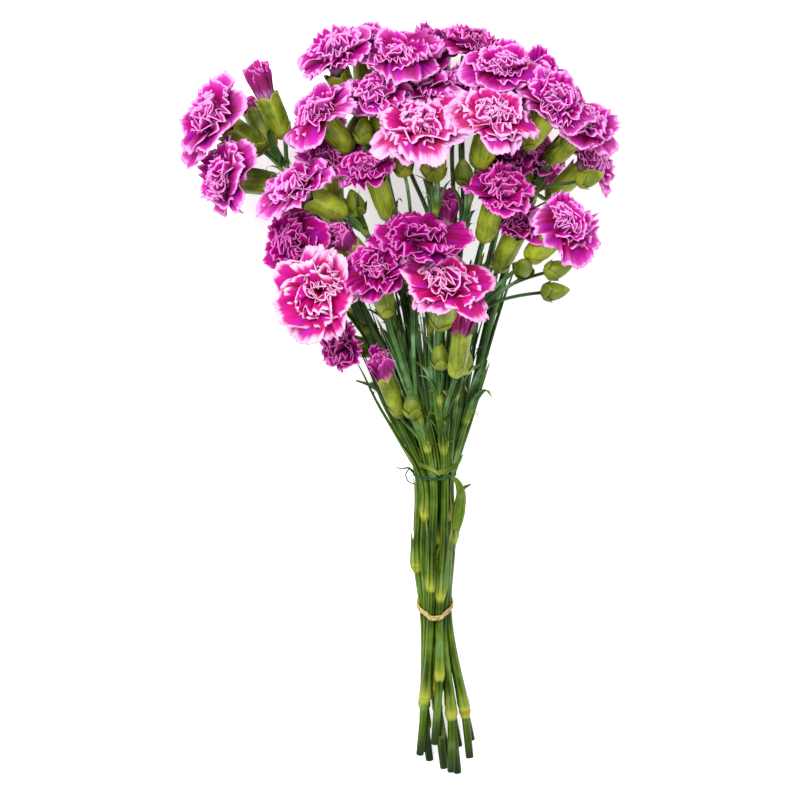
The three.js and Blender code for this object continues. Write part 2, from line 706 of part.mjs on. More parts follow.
function headSolid(limb, order) {
  const { flower } = limb;
  const axis = flower.faces;
  const [side] = acrossAxis(axis);
  const other = axis.clone().cross(side);
  const neck = neckOf(flower);
  const limits = cellOf(limb);
  const half = petalThickness / 2;
  const turn = order * goldenAngle;
  const size = flower.width / 2;
  const { dishes, crown } = forms[flower.form];
  const outward = (angle) => (
    side.clone().multiplyScalar(Math.cos(angle)).addScaledVector(other, Math.sin(angle))
  );
  const place = (radius, angle, height) => (
    neck.clone().addScaledVector(outward(angle), radius).addScaledVector(axis, height)
  );
  const ring = (count, maker) => (
    Array.from({ length: count }, (_, i) => maker(i, turn + (2 * Math.PI * i) / count))
  );
  const rings = [];
  dishes.forEach(({ lean, reach, seat, lobe }, level) => {
    const inside = bore.first - bore.step * level;
    const from = place(0, 0, seat);
    const outer = [];
    const inner = [];
    ring(petals * lobe, (i, angle) => {
      const wave = Math.sin(ruffle.petal * i + ruffle.level * level + order);
      const tilt = THREE.MathUtils.degToRad(lean + ruffle.degrees * wave);
      const length = reach * size * (i % lobe === 0 ? notch : 1);
      const way = outward(angle).multiplyScalar(Math.sin(tilt));
      way.addScaledVector(axis, Math.cos(tilt));
      const target = from.clone().addScaledVector(way, length);
      const rim = from.clone().lerp(target, allowed(limits, from, target, half + clearance / 2));
      const face = outward(angle).multiplyScalar(-Math.cos(tilt));
      face.addScaledVector(axis, Math.sin(tilt));
      outer.push(rim.clone().addScaledVector(face, -half));
      inner.push(rim.clone().addScaledVector(face, half));
    });
    rings.push(ring(petals, (i, angle) => place(inside, angle, seat - half)));
    rings.push(outer, inner);
    rings.push(ring(petals, (i, angle) => place(inside - bore.draw, angle, seat + half)));
  });
  const inside = bore.first - bore.step * dishes.length;
  const from = place(0, 0, crown.seat);
  const reachTo = (radius, angle, height) => {
    const target = place(radius, angle, height);
    return from.clone().lerp(target, allowed(limits, from, target, clearance));
  };
  const [radius, height] = [crown.radius * size, crown.height * size];
  const { valley, wave, pace, innerRadius, innerHeight, twist } = crownShape;
  rings.push(ring(petals, (i, angle) => place(inside, angle, crown.seat - half)));
  rings.push(ring(2 * petals, (i, angle) => {
    const out = radius * (i % 2 === 0 ? 1 : valley);
    return reachTo(out, angle, height * (1 - wave + wave * Math.sin(pace * i + order)));
  }));
  rings.push(ring(petals, (i, angle) => reachTo(innerRadius * radius, angle + twist, innerHeight * height)));
  rings.push([reachTo(0, 0, height)]);
  return toSolid(skin(rings));
}

// Where the main stems cross a height, as places and radii
function crossingsAt(y) {
  const crossings = [];
  for (const limb of limbs.filter((each) => !each.rootRadius)) {
    for (let i = 0; i + 1 < limb.chain.length; i++) {
      const [a, b] = [joints[limb.chain[i]], joints[limb.chain[i + 1]]];
      if (a.at.y > y || b.at.y <= y) continue;
      const share = (y - a.at.y) / (b.at.y - a.at.y);
      crossings.push({ at: a.at.clone().lerp(b.at, share), radius: mix(a.radius, b.radius, share) });
    }
  }
  return crossings;
}

// A loop drawn tight round the stems over a tie's width, as a place and an outward way for each step
function loopRound(y, width, steps) {
  const crossings = [y - width / 2, y + width / 2].flatMap(crossingsAt);
  return Array.from({ length: steps }, (_, i) => {
    const angle = (2 * Math.PI * i) / steps;
    const out = new THREE.Vector3(Math.cos(angle), 0, Math.sin(angle));
    const reach = (each) => each.at.dot(out) + each.radius;
    const furthest = crossings.reduce((best, each) => (reach(each) > reach(best) ? each : best));
    const at = furthest.at.clone().addScaledVector(out, furthest.radius + clearance);
    at.y = y;
    return { at, out };
  });
}

// A closed ring of a given section, laid along a loop and shifted along the bunch
function ringSolid(loop, shape, shift = 0) {
  const steps = loop.length;
  const geometry = new THREE.TorusGeometry(2, 1, shape.sides, steps);
  const place = geometry.attributes.position;
  for (let i = 0; i < place.count; i++) {
    const angle = Math.atan2(place.getY(i), place.getX(i));
    const step = (Math.round((angle * steps) / (2 * Math.PI)) + steps) % steps;
    const out = (Math.hypot(place.getX(i), place.getY(i)) - 2) * shape.thick * 0.5;
    const point = loop[step].at.clone().addScaledVector(loop[step].out, out + shape.thick * 0.5);
    point.y += -place.getZ(i) * shape.width * 0.5 + shift;
    place.setXYZ(i, point.x, point.y, point.z);
  }
  return toSolid(geometry);
}

// Materials
const stemGreen = new THREE.MeshStandardMaterial({ color: 0x5d7a4a, roughness: 0.55, metalness: 0 });
const petalPurple = new THREE.MeshStandardMaterial({ color: 0xc23fa8, roughness: 0.7, metalness: 0 });
const bandTan = new THREE.MeshStandardMaterial({ color: 0xc8a06e, roughness: 0.6, metalness: 0 });
const twineGreen = new THREE.MeshStandardMaterial({ color: 0x005032, roughness: 0.7, metalness: 0 });

const bunch = new THREE.Group();
function addMesh(name, solid, material) {
  const mesh = new THREE.Mesh(toGeometry(solid), material);
  mesh.name = name;
  bunch.add(mesh);
}

// The space above the surface, which presses the lowest petals flat
const space = { x: 600, y: 800, z: 300 };
const aboveSurface = toSolid(new THREE.BoxGeometry(space.x, space.y, space.z).translate(0, 0, space.z / 2));

sprays.forEach((spray, index) => {
  const own = limbs.filter((limb) => limb.spray === index);
  const label = String(index + 1).padStart(2, '0');
  const greens = own.map((limb) => (limb.blade ? leafSolid(limb) : limbSolid(limb)));
  addMesh(`stem_${label}`, greens.reduce((whole, limb) => whole.add(limb)), stemGreen);
  own.filter(carriesHead).forEach((limb, place) => {
    const solid = headSolid(limb, flowers.indexOf(limb.flower));
    addMesh(`bloom_${label}_${'abcdef'[place]}`, solid.intersect(aboveSurface), petalPurple);
  });
});

const bandLoop = loopRound(ties.band.y, ties.band.width, ties.band.steps);
addMesh('rubber_band', ringSolid(bandLoop, ties.band), bandTan);

const cord = { ...ties.twine, thick: 2 * ties.twine.radius, width: 2 * ties.twine.radius };
const twineLoop = loopRound(ties.twine.y, cord.width + ties.twine.pitch, ties.twine.steps);
const turns = [-0.5, 0.5].map((lane) => ringSolid(twineLoop, cord, lane * ties.twine.pitch));
const knot = twineLoop[ties.twine.steps / 2];
const tails = ties.twine.tails.map((ways) => {
  const points = ways.map((way) => knot.at.clone().add(new THREE.Vector3(...way)));
  return bend(points, { across: points.map(() => ties.twine.radius), sides: 4 });
});
addMesh('twine', [...turns, ...tails].reduce((whole, piece) => whole.add(piece)), twineGreen);

export default bunch;
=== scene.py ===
# A hand-tied bunch of spray carnations lying on a pale surface, seen from above.
import json
import math

import bmesh
import bpy
import numpy as np
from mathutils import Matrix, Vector

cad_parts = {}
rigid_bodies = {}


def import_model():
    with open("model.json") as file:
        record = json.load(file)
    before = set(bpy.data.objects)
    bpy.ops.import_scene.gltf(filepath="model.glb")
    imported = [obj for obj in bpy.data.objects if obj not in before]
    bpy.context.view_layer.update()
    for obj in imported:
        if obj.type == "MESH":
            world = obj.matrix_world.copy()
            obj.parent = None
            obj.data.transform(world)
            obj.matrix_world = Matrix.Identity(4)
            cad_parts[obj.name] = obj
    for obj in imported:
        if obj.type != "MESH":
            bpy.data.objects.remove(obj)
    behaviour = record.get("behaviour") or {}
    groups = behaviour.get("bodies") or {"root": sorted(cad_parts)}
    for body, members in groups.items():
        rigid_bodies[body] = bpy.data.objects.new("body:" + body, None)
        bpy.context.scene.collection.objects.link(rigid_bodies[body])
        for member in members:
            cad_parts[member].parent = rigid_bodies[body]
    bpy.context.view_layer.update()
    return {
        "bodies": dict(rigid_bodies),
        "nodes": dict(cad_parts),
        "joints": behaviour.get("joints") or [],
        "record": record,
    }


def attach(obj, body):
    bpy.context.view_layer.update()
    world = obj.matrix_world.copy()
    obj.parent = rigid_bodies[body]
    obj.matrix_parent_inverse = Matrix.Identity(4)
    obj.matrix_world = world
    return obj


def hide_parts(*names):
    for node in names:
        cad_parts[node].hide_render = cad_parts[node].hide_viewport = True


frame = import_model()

mm = 0.001
tiny = 1e-9  # shorter than any real length
fullTurn = 2 * math.pi


def unit(vector):
    return vector / np.linalg.norm(vector, axis=-1, keepdims=True)


def mix(low, high, share):
    return low + (high - low) * share


def smooth(low, high, value):
    share = np.clip((value - low) / (high - low), 0, 1)
    return share * share * (3 - 2 * share)


# The direction that lies at an angle from the first of two directions towards the second
def turned(first, second, angle):
    angle = np.asarray(angle)[..., None]
    return first * np.cos(angle) + second * np.sin(angle)


# Two directions square to an axis and to each other
def squareTo(axis):
    helper = np.array([0, 0, 1.0]) if abs(axis[2]) < 0.9 else np.array([1.0, 0, 0])
    side = unit(np.cross(helper, axis))
    return side, np.cross(axis, side)


# Stage: camera, lights, sky and floor
stage = {
    "centre": (-0.0006, 0.0),  # what the picture's middle looks at
    "frameWidth": 0.508,  # width of the picture at the height of the flowers
    "flowerHeight": 0.075,
    "cameraHeight": 8.0,
    "cameraReach": 50.0,
    "sensor": 36.0,
    "skyColour": (1, 1, 1, 1),
    "skyStrength": 0.72,
    "floorSize": 6.0,
    "floorColour": (0.96, 0.96, 0.96, 1),
    "floorRoughness": 0.9,
    "glowColour": (1, 1, 1, 1),
    "floorGlow": 0.5,  # keeps the shadows on the paper light
}
lights = {
    "keyLight": {"place": (-1.0, 1.3, 2.8), "size": 1.6, "power": 104.0},
    "fillLight": {"place": (1.4, -0.8, 2.6), "size": 2.4, "power": 24.0},
}


def makeCamera():
    data = bpy.data.cameras.new("camera")
    camera = bpy.data.objects.new("camera", data)
    bpy.context.scene.collection.objects.link(camera)
    camera.location = (*stage["centre"], stage["cameraHeight"])
    data.sensor_width = stage["sensor"]
    distance = stage["cameraHeight"] - stage["flowerHeight"]
    data.lens = stage["sensor"] * distance / stage["frameWidth"]
    data.clip_end = stage["cameraReach"]
    bpy.context.scene.camera = camera


def makeLight(name, look):
    data = bpy.data.lights.new(name, "AREA")
    data.size = look["size"]
    data.energy = look["power"]
    light = bpy.data.objects.new(name, data)
    bpy.context.scene.collection.objects.link(light)
    light.location = look["place"]
    light.rotation_euler = (-Vector(look["place"])).to_track_quat("-Z", "Y").to_euler()


def makeSky():
    world = bpy.data.worlds.new("softSky")
    bpy.context.scene.world = world
    world.use_nodes = True
    sky = world.node_tree.nodes["Background"]
    sky.inputs["Color"].default_value = stage["skyColour"]
    sky.inputs["Strength"].default_value = stage["skyStrength"]
    bpy.context.scene.view_settings.view_transform = "Standard"


def makeFloor():
    form = bmesh.new()
    bmesh.ops.create_grid(form, x_segments=1, y_segments=1, size=stage["floorSize"] / 2)
    mesh = bpy.data.meshes.new("floor")
    form.to_mesh(mesh)
    form.free()
    floor = bpy.data.objects.new("floor", mesh)
    bpy.context.scene.collection.objects.link(floor)
    paint = Finish("palePaper")
    paint.set(
        colour=stage["floorColour"],
        roughness=stage["floorRoughness"],
        glowColour=stage["glowColour"],
        glow=stage["floorGlow"],
    )
    mesh.materials.append(paint.material)


def makeStage():
    makeCamera()
    for name, look in lights.items():
        makeLight(name, look)
    makeSky()
    makeFloor()


# Shader sums: a socket that takes part in Python expressions
class Signal:
    def __init__(self, finish, socket):
        self.finish = finish
        self.socket = socket

    def maths(self, operation, first, second):
        return self.finish.node("ShaderNodeMath", {"operation": operation}, {0: first, 1: second})

    def __add__(self, other):
        return self.maths("ADD", self, other)

    def __radd__(self, other):
        return self.maths("ADD", other, self)

    def __sub__(self, other):
        return self.maths("SUBTRACT", self, other)

    def __rsub__(self, other):
        return self.maths("SUBTRACT", other, self)

    def __mul__(self, other):
        return self.maths("MULTIPLY", self, other)


# Sockets of the main shader, by the names that finishes use, and the colour sockets of a Mix node
socketNames = {
    "colour": "Base Color", "roughness": "Roughness", "specular": "Specular IOR Level",
    "normal": "Normal", "glowColour": "Emission Color", "glow": "Emission Strength",
}
mixSockets = {"share": 0, "first": 6, "second": 7, "colour": 2}


class Finish:
    def __init__(self, name):
        self.material = bpy.data.materials.new(name)
        self.material.use_nodes = True
        self.tree = self.material.node_tree
        self.base = self.tree.nodes["Principled BSDF"]

    # Any node: its type, its settings, then the values or links of its sockets
    def node(self, kind, settings=None, sockets=None, output=0):
        made = self.tree.nodes.new(kind)
        for key, value in (settings or {}).items():
            setattr(made, key, value)
        for key, value in (sockets or {}).items():
            self.feed(made.inputs[key], value)
        return Signal(self, made.outputs[output])

    def feed(self, socket, value):
        if isinstance(value, Signal):
            self.tree.links.new(value.socket, socket)
        else:
            socket.default_value = value

    def set(self, **values):
        for key, value in values.items():
            self.feed(self.base.inputs[socketNames[key]], value)

    def attribute(self, name):
        return self.node("ShaderNodeAttribute", {"attribute_name": name}, output="Fac")

    # Where a point is in the object, in metres
    def where(self):
        return self.node("ShaderNodeTexCoord", output="Object")

    # Across or round a piece and along it, each from 0 to 1
    def around(self):
        uv = self.node("ShaderNodeUVMap", {"uv_map": "UVMap"})
        across = self.node("ShaderNodeSeparateXYZ", None, {0: uv}, "X")
        return across, Signal(self, across.socket.node.outputs["Y"])

    def sine(self, value):
        return self.node("ShaderNodeMath", {"operation": "SINE"}, {0: value})

    def noise(self, vector, scale, detail):
        sockets = {"Vector": vector, "Scale": scale, "Detail": detail}
        return self.node("ShaderNodeTexNoise", None, sockets, "Fac")

    # Long noise; apart makes each petal or stem differ
    def streaks(self, across, along, apart, look):
        spot = {0: across * look["across"], 1: along * look["along"], 2: apart * look["apart"]}
        return self.noise(self.node("ShaderNodeCombineXYZ", None, spot), 1.0, look["detail"])

    def blend(self, share, first, second):
        sockets = {mixSockets["share"]: share, mixSockets["first"]: first, mixSockets["second"]: second}
        return self.node("ShaderNodeMix", {"data_type": "RGBA"}, sockets, mixSockets["colour"])

    def ramp(self, value, stops):
        made = self.node("ShaderNodeValToRGB", None, {0: value})
        elements = made.socket.node.color_ramp.elements
        while len(elements) < len(stops):
            elements.new(0.5)
        for element, (position, colour) in zip(elements, stops):
            element.position = position
            element.color = colour
        return made

    # From 0 at low to 1 at high, smoothly
    def step(self, value, low, high):
        sockets = {"Value": value, "From Min": low, "From Max": high}
        return self.node("ShaderNodeMapRange", {"interpolation_type": "SMOOTHSTEP"}, sockets)

    def bump(self, height, distance):
        return self.node("ShaderNodeBump", None, {"Height": height, "Distance": distance})


# A colour as screens give it, 0 to 255, made linear
def tone(red, green, blue):
    def linear(part):
        part /= 255
        return part / 12.92 if part <= 0.04045 else ((part + 0.055) / 1.055) ** 2.4
    return (linear(red), linear(green), linear(blue), 1)


# Petal looks: colours from the claw to the rim, and how much of an outer and an inner petal is pale
# Each throat colour is the petal's own deep crimson, darkened further as painted shade of the crevices deep
# in the bloom
petalLooks = {
    "white": {
        "claw": tone(226, 196, 236), "shadedThroat": tone(194, 0, 98), "body": tone(212, 0, 142),
        "rim": tone(250, 198, 234), "rims": (0.31, 0.17), "halo": 0.04,
    },
    "blush": {
        "claw": tone(236, 204, 236), "shadedThroat": tone(184, 0, 84), "body": tone(206, 0, 134),
        "rim": tone(250, 184, 238), "rims": (0.32, 0.18), "halo": 0.08,
    },
    "pale": {
        "claw": tone(232, 196, 236), "shadedThroat": tone(176, 0, 78), "body": tone(204, 0, 130),
        "rim": tone(249, 180, 232), "rims": (0.29, 0.13), "halo": 0.04,
    },
    "light": {
        "claw": tone(224, 190, 234), "shadedThroat": tone(152, 0, 84), "body": tone(196, 0, 154),
        "rim": tone(246, 164, 232), "rims": (0.21, 0.11), "halo": 0.24,
    },
    "rich": {
        "claw": tone(220, 176, 230), "shadedThroat": tone(142, 0, 76), "body": tone(186, 0, 136),
        "rim": tone(240, 136, 216), "rims": (0.17, 0.09), "halo": 0.14,
    },
    "deep": {
        "claw": tone(206, 150, 222), "shadedThroat": tone(122, 0, 66), "body": tone(170, 0, 122),
        "rim": tone(230, 118, 206), "rims": (0.13, 0.075), "halo": 0.1,
    },
}
# Zones are where a change starts and ends, from 0 at the claw to 1 at the rim, or as shares of the pale rim
petalFinish = {
    # The throat stops carry painted shade as well as colour: the throat is darkened to stand for the shade
    # down in the bloom
    "stops": [(0.1, "claw"), (0.3, "shadedThroat"), (0.5, "shadedThroat"), (0.78, "body")], "stopShift": 0.3,
    "streak": {"across": 8.0, "along": 1.2, "apart": 37.0, "detail": 3.0},
    "vein": {"across": 40.0, "along": 1.5, "apart": 11.0, "detail": 2.0},
    "veinMiddle": 0.4, "veinShade": 0.16, "veinHeight": 0.2,
    # Pleats are fine radial folds given only as bumps: their crests are painted paler (painted highlight) and
    # their troughs darker (painted shade)
    "pleats": 34.0, "pleatWobble": 9.0, "pleatApart": 40.0, "pleatZone": (0.35, 0.95),
    "pleatMiddle": 0.4, "pleatCrestHighlight": 0.3, "pleatShade": 0.16, "pleatHeight": 0.5,
    "backTone": 0.5, "backPale": 0.26, "backStreak": 0.6,
    # Painted sheen: a violet highlight blended in streaks across the middle of each petal
    "violetSheen": tone(150, 40, 214), "violetSheenShare": 0.34, "violetSheenStreak": (0.45, 0.65),
    "violetSheenIn": (0.34, 0.5), "violetSheenOut": (0.6, 0.8),
    "rimShift": 1.0, "rimZone": (0.55, 1.2), "haloShift": 0.3, "haloZone": (0.5, 2.4),
    "petalShade": 0.16, "roughness": 0.7, "specular": 0.1, "relief": 0.0006,
}


def makePetalFinish(name, look, isBack):
    paint = Finish(name)
    across, along = paint.around()
    petal = paint.attribute("mark")
    rimShare = paint.attribute("tint")
    streak = paint.streaks(across, along, petal, petalFinish["streak"])
    veins = paint.streaks(across, along, petal, petalFinish["vein"])
    uneven = streak - 0.5
    wobble = uneven * petalFinish["pleatWobble"] + petal * petalFinish["pleatApart"]
    pleat = paint.sine(across * petalFinish["pleats"] + wobble) * 0.5 + 0.5
    pleat = pleat * paint.step(along, *petalFinish["pleatZone"])
    stops = [(position, look[part]) for position, part in petalFinish["stops"]]
    colour = paint.ramp(along + uneven * petalFinish["stopShift"], stops)
    if isBack:
        paler = tuple(mix(np.array(look["body"]), np.array(look["rim"]), petalFinish["backTone"]))
        colour = paint.blend(petalFinish["backPale"] + uneven * petalFinish["backStreak"], colour, paler)
    # Painted sheen: a violet highlight laid over the middle of the petal, in streaks
    middle = paint.step(along, *petalFinish["violetSheenIn"])
    middle = middle * (1.0 - paint.step(along, *petalFinish["violetSheenOut"]))
    violetSheen = middle * paint.step(streak, *petalFinish["violetSheenStreak"]) * petalFinish["violetSheenShare"]
    colour = paint.blend(violetSheen, colour, petalFinish["violetSheen"])
    toRim = (1.0 - along) + uneven * rimShare * petalFinish["rimShift"]
    # Painted highlight: the pale rim reaches further in on the pleat crests
    toRim = toRim - (pleat - petalFinish["pleatMiddle"]) * petalFinish["pleatCrestHighlight"] * rimShare
    start, end = (rimShare * share for share in petalFinish["haloZone"])
    halo = 1.0 - paint.step(toRim + uneven * petalFinish["haloShift"], start, end)
    colour = paint.blend(halo * look["halo"], colour, look["rim"])
    start, end = (rimShare * share for share in petalFinish["rimZone"])
    colour = paint.blend(paint.step(toRim, start, end), look["rim"], colour)
    shade = 1.0 - petal * petalFinish["petalShade"]
    shade = shade - (veins - petalFinish["veinMiddle"]) * petalFinish["veinShade"]
    # Painted shade: the pleat troughs are darker
    shade = shade - (0.5 - pleat) * petalFinish["pleatShade"]
    relief = veins * petalFinish["veinHeight"] + pleat * petalFinish["pleatHeight"]
    paint.set(
        colour=paint.node("ShaderNodeHueSaturation", None, {"Value": shade, "Color": colour}),
        roughness=petalFinish["roughness"],
        specular=petalFinish["specular"],
        normal=paint.bump(relief, petalFinish["relief"]),
    )
    return paint.material


# Greens of stems, calyxes, buds and leaves. Each vertex holds how ripe (yellow) it is and its reach.
greens = {
    "low": tone(90, 118, 16),
    "lowShade": tone(14, 38, 0),
    "high": tone(84, 124, 64),
    "highShade": tone(2, 30, 12),
    # The stems' waxy bloom, a pale blue-green that also serves as a painted highlight
    "waxyHighlight": tone(136, 176, 134),
    "knee": tone(154, 162, 56),
    "ring": tone(138, 120, 30),
    "cut": tone(28, 46, 8),
    "calyx": tone(160, 174, 44),
    "calyxShade": tone(60, 80, 0),
    "calyxFoot": tone(142, 138, 48),
    "margin": tone(200, 198, 116),
}
stemFinish = {
    "highZone": (-0.05, 0.03),  # the tied part is yellower than the open part above it
    "streak": {"across": 9.0, "along": 12.0, "apart": 5.0, "detail": 4.0}, "streakShare": 0.6,
    "cloud": 48.0, "cloudDetail": 3.0, "speckle": 900.0, "speckleDetail": 2.0, "wander": 0.5,
    "shadeZone": (0.36, 0.6), "waxHighlightZone": (0.52, 0.7), "waxAndHighlight": 0.2, "highWaxHighlight": 0.4,
    "kneeZone": (0.1, 1.1), "ringZone": (0.9, 1.7), "cutLength": 0.03, "cutZone": (-0.2, -0.19),
    "roughness": 0.5, "specular": 0.16, "speckleHeight": 0.2, "relief": 0.0004,
}
calyxFinish = {
    "streak": {"across": 26.0, "along": 60.0, "apart": 3.0, "detail": 3.0},
    "cloud": 90.0, "cloudDetail": 3.0, "broad": 24.0, "broadDetail": 1.0,
    "shares": {"streak": 0.25, "cloud": 0.4, "broad": 0.35},
    "shadeZone": (0.34, 0.62), "footZone": (0.2, 1.2), "wander": 0.6, "marginZone": (1.4, 2.0),
    "budRipe": -0.42,  # buds are darker than calyxes
    "roughness": 0.4, "specular": 0.32, "relief": 0.00035,
}


def makeStemFinish():
    paint = Finish("stemSkin")
    around, _ = paint.around()
    ripe = paint.attribute("tint")
    reach = paint.attribute("mark")
    where = paint.where()
    along = paint.node("ShaderNodeSeparateXYZ", None, {0: where}, "Y")
    high = paint.step(along, *stemFinish["highZone"])
    streak = paint.streaks(around, reach, reach, stemFinish["streak"])
    cloud = paint.noise(where, stemFinish["cloud"], stemFinish["cloudDetail"])
    speckle = paint.noise(where, stemFinish["speckle"], stemFinish["speckleDetail"])
    usual = paint.blend(high, greens["low"], greens["high"])
    shade = paint.blend(high, greens["lowShade"], greens["highShade"])
    tinted = paint.step(mix(cloud, streak, stemFinish["streakShare"]), *stemFinish["shadeZone"])
    colour = paint.blend(tinted, shade, usual)
    # Patches of the stems' real waxy bloom that also serve as painted highlights, more of them on the open
    # part
    waxAndHighlight = paint.step(cloud, *stemFinish["waxHighlightZone"]) * (stemFinish["waxAndHighlight"] + high * stemFinish["highWaxHighlight"])
    colour = paint.blend(waxAndHighlight, colour, greens["waxyHighlight"])
    knee = paint.step(ripe + (streak - 0.5) * stemFinish["wander"], *stemFinish["kneeZone"])
    colour = paint.blend(knee, colour, greens["knee"])
    ring = paint.step(ripe + (speckle - 0.5) * stemFinish["wander"], *stemFinish["ringZone"])
    colour = paint.blend(ring, colour, greens["ring"])
    cut = 1.0 - paint.step(reach, 0.0, stemFinish["cutLength"])
    cut = cut * (1.0 - paint.step(along, *stemFinish["cutZone"]))
    paint.set(
        colour=paint.blend(cut, colour, greens["cut"]),
        roughness=stemFinish["roughness"],
        specular=stemFinish["specular"],
        normal=paint.bump(streak + speckle * stemFinish["speckleHeight"], stemFinish["relief"]),
    )
    return paint.material


def makeCalyxFinish():
    paint = Finish("calyxSkin")
    around, _ = paint.around()
    ripe = paint.attribute("tint")
    reach = paint.attribute("mark")
    where = paint.where()
    shares = calyxFinish["shares"]
    cloud = paint.noise(where, calyxFinish["cloud"], calyxFinish["cloudDetail"])
    streak = paint.streaks(around, reach, 1.0, calyxFinish["streak"])
    broad = paint.noise(where, calyxFinish["broad"], calyxFinish["broadDetail"])
    tinted = streak * shares["streak"] + cloud * shares["cloud"] + broad * shares["broad"]
    tinted = paint.step(tinted, *calyxFinish["shadeZone"])
    colour = paint.blend(tinted, greens["calyxShade"], greens["calyx"])
    notBud = paint.step(ripe, calyxFinish["budRipe"] * 2, 0.0)
    colour = paint.blend(notBud, greens["calyxShade"], colour)
    foot = paint.step(ripe + (cloud - 0.5) * calyxFinish["wander"], *calyxFinish["footZone"])
    colour = paint.blend(foot, colour, greens["calyxFoot"])
    margin = paint.step(ripe, *calyxFinish["marginZone"])
    paint.set(
        colour=paint.blend(margin, colour, greens["margin"]),
        roughness=calyxFinish["roughness"],
        specular=calyxFinish["specular"],
        normal=paint.bump(streak, calyxFinish["relief"]),
    )
    return paint.material


# Heads, buds and leaves, by the same places as the solids. Millimetres; +Y runs to the flowers.
def head(at, faces, width, form, fork=0):
    return {
        "at": np.array(at, float), "faces": unit(np.array(faces, float)),
        "width": width, "form": form, "fork": fork,
    }


def bud(at, faces, fork):
    return head(at, faces, budWidth, "bud", fork)


def leaf(fork, out, length, width, spread=1.0):
    way = unit(np.array(out, float))
    return {"fork": fork, "out": way, "length": length, "width": width, "spread": spread}


clearance = 0.3  # between the solids
radii = {"cut": 2.5, "tie": 2.45, "top": 1.8, "side": 1.4, "bud": 1.1}
kneeSwell = 1.4
pedicelLead = {"head": 8, "bud": 3.2}  # straight end of a stalk, under a calyx or a bud
upperSteps = 7  # joints of a stem above the twine
sideStep = 26  # length of a side stalk from joint to joint
# Outlines are shares of the length from the foot up, each with its radius
calyxLength = 20
calyxOutline = [(0, 2.2), (0.1, 4.6), (0.42, 6.3), (1, 6.6)]
calyxRoom = 6.8
slimOutline = [(0, 2), (0.1, 3.6), (0.45, 4.9), (1, 4.9)]
slimRoom = 5.2
budLength = 17
budWidth = 12
budOutline = [(0, 1.6), (0.2, 4.8), (0.62, 5.8), (1, 0.8)]
usualWidth = 43  # of a bloom whose calyx has the usual girth
girthRange = (0.85, 1.2)
neckDrop = 0.2  # from a bloom's middle down to its calyx, as a share of its width
coreRise = 0.1  # and up to the top of its core, which stems keep clear of
coreRadius = {"wide": 8, "slim": 6.5}
# How the stems lie where they are cut, where the band holds them and where the twine does
bundle = {
    "y": [-240, -133, -49], "x": [28, 22, 21], "z": [13.6, 31, 43],
    "spacing": [13, 5.28, 6.3], "flatness": [0.55, 1, 1], "turn": [-50, 0, 18],
}

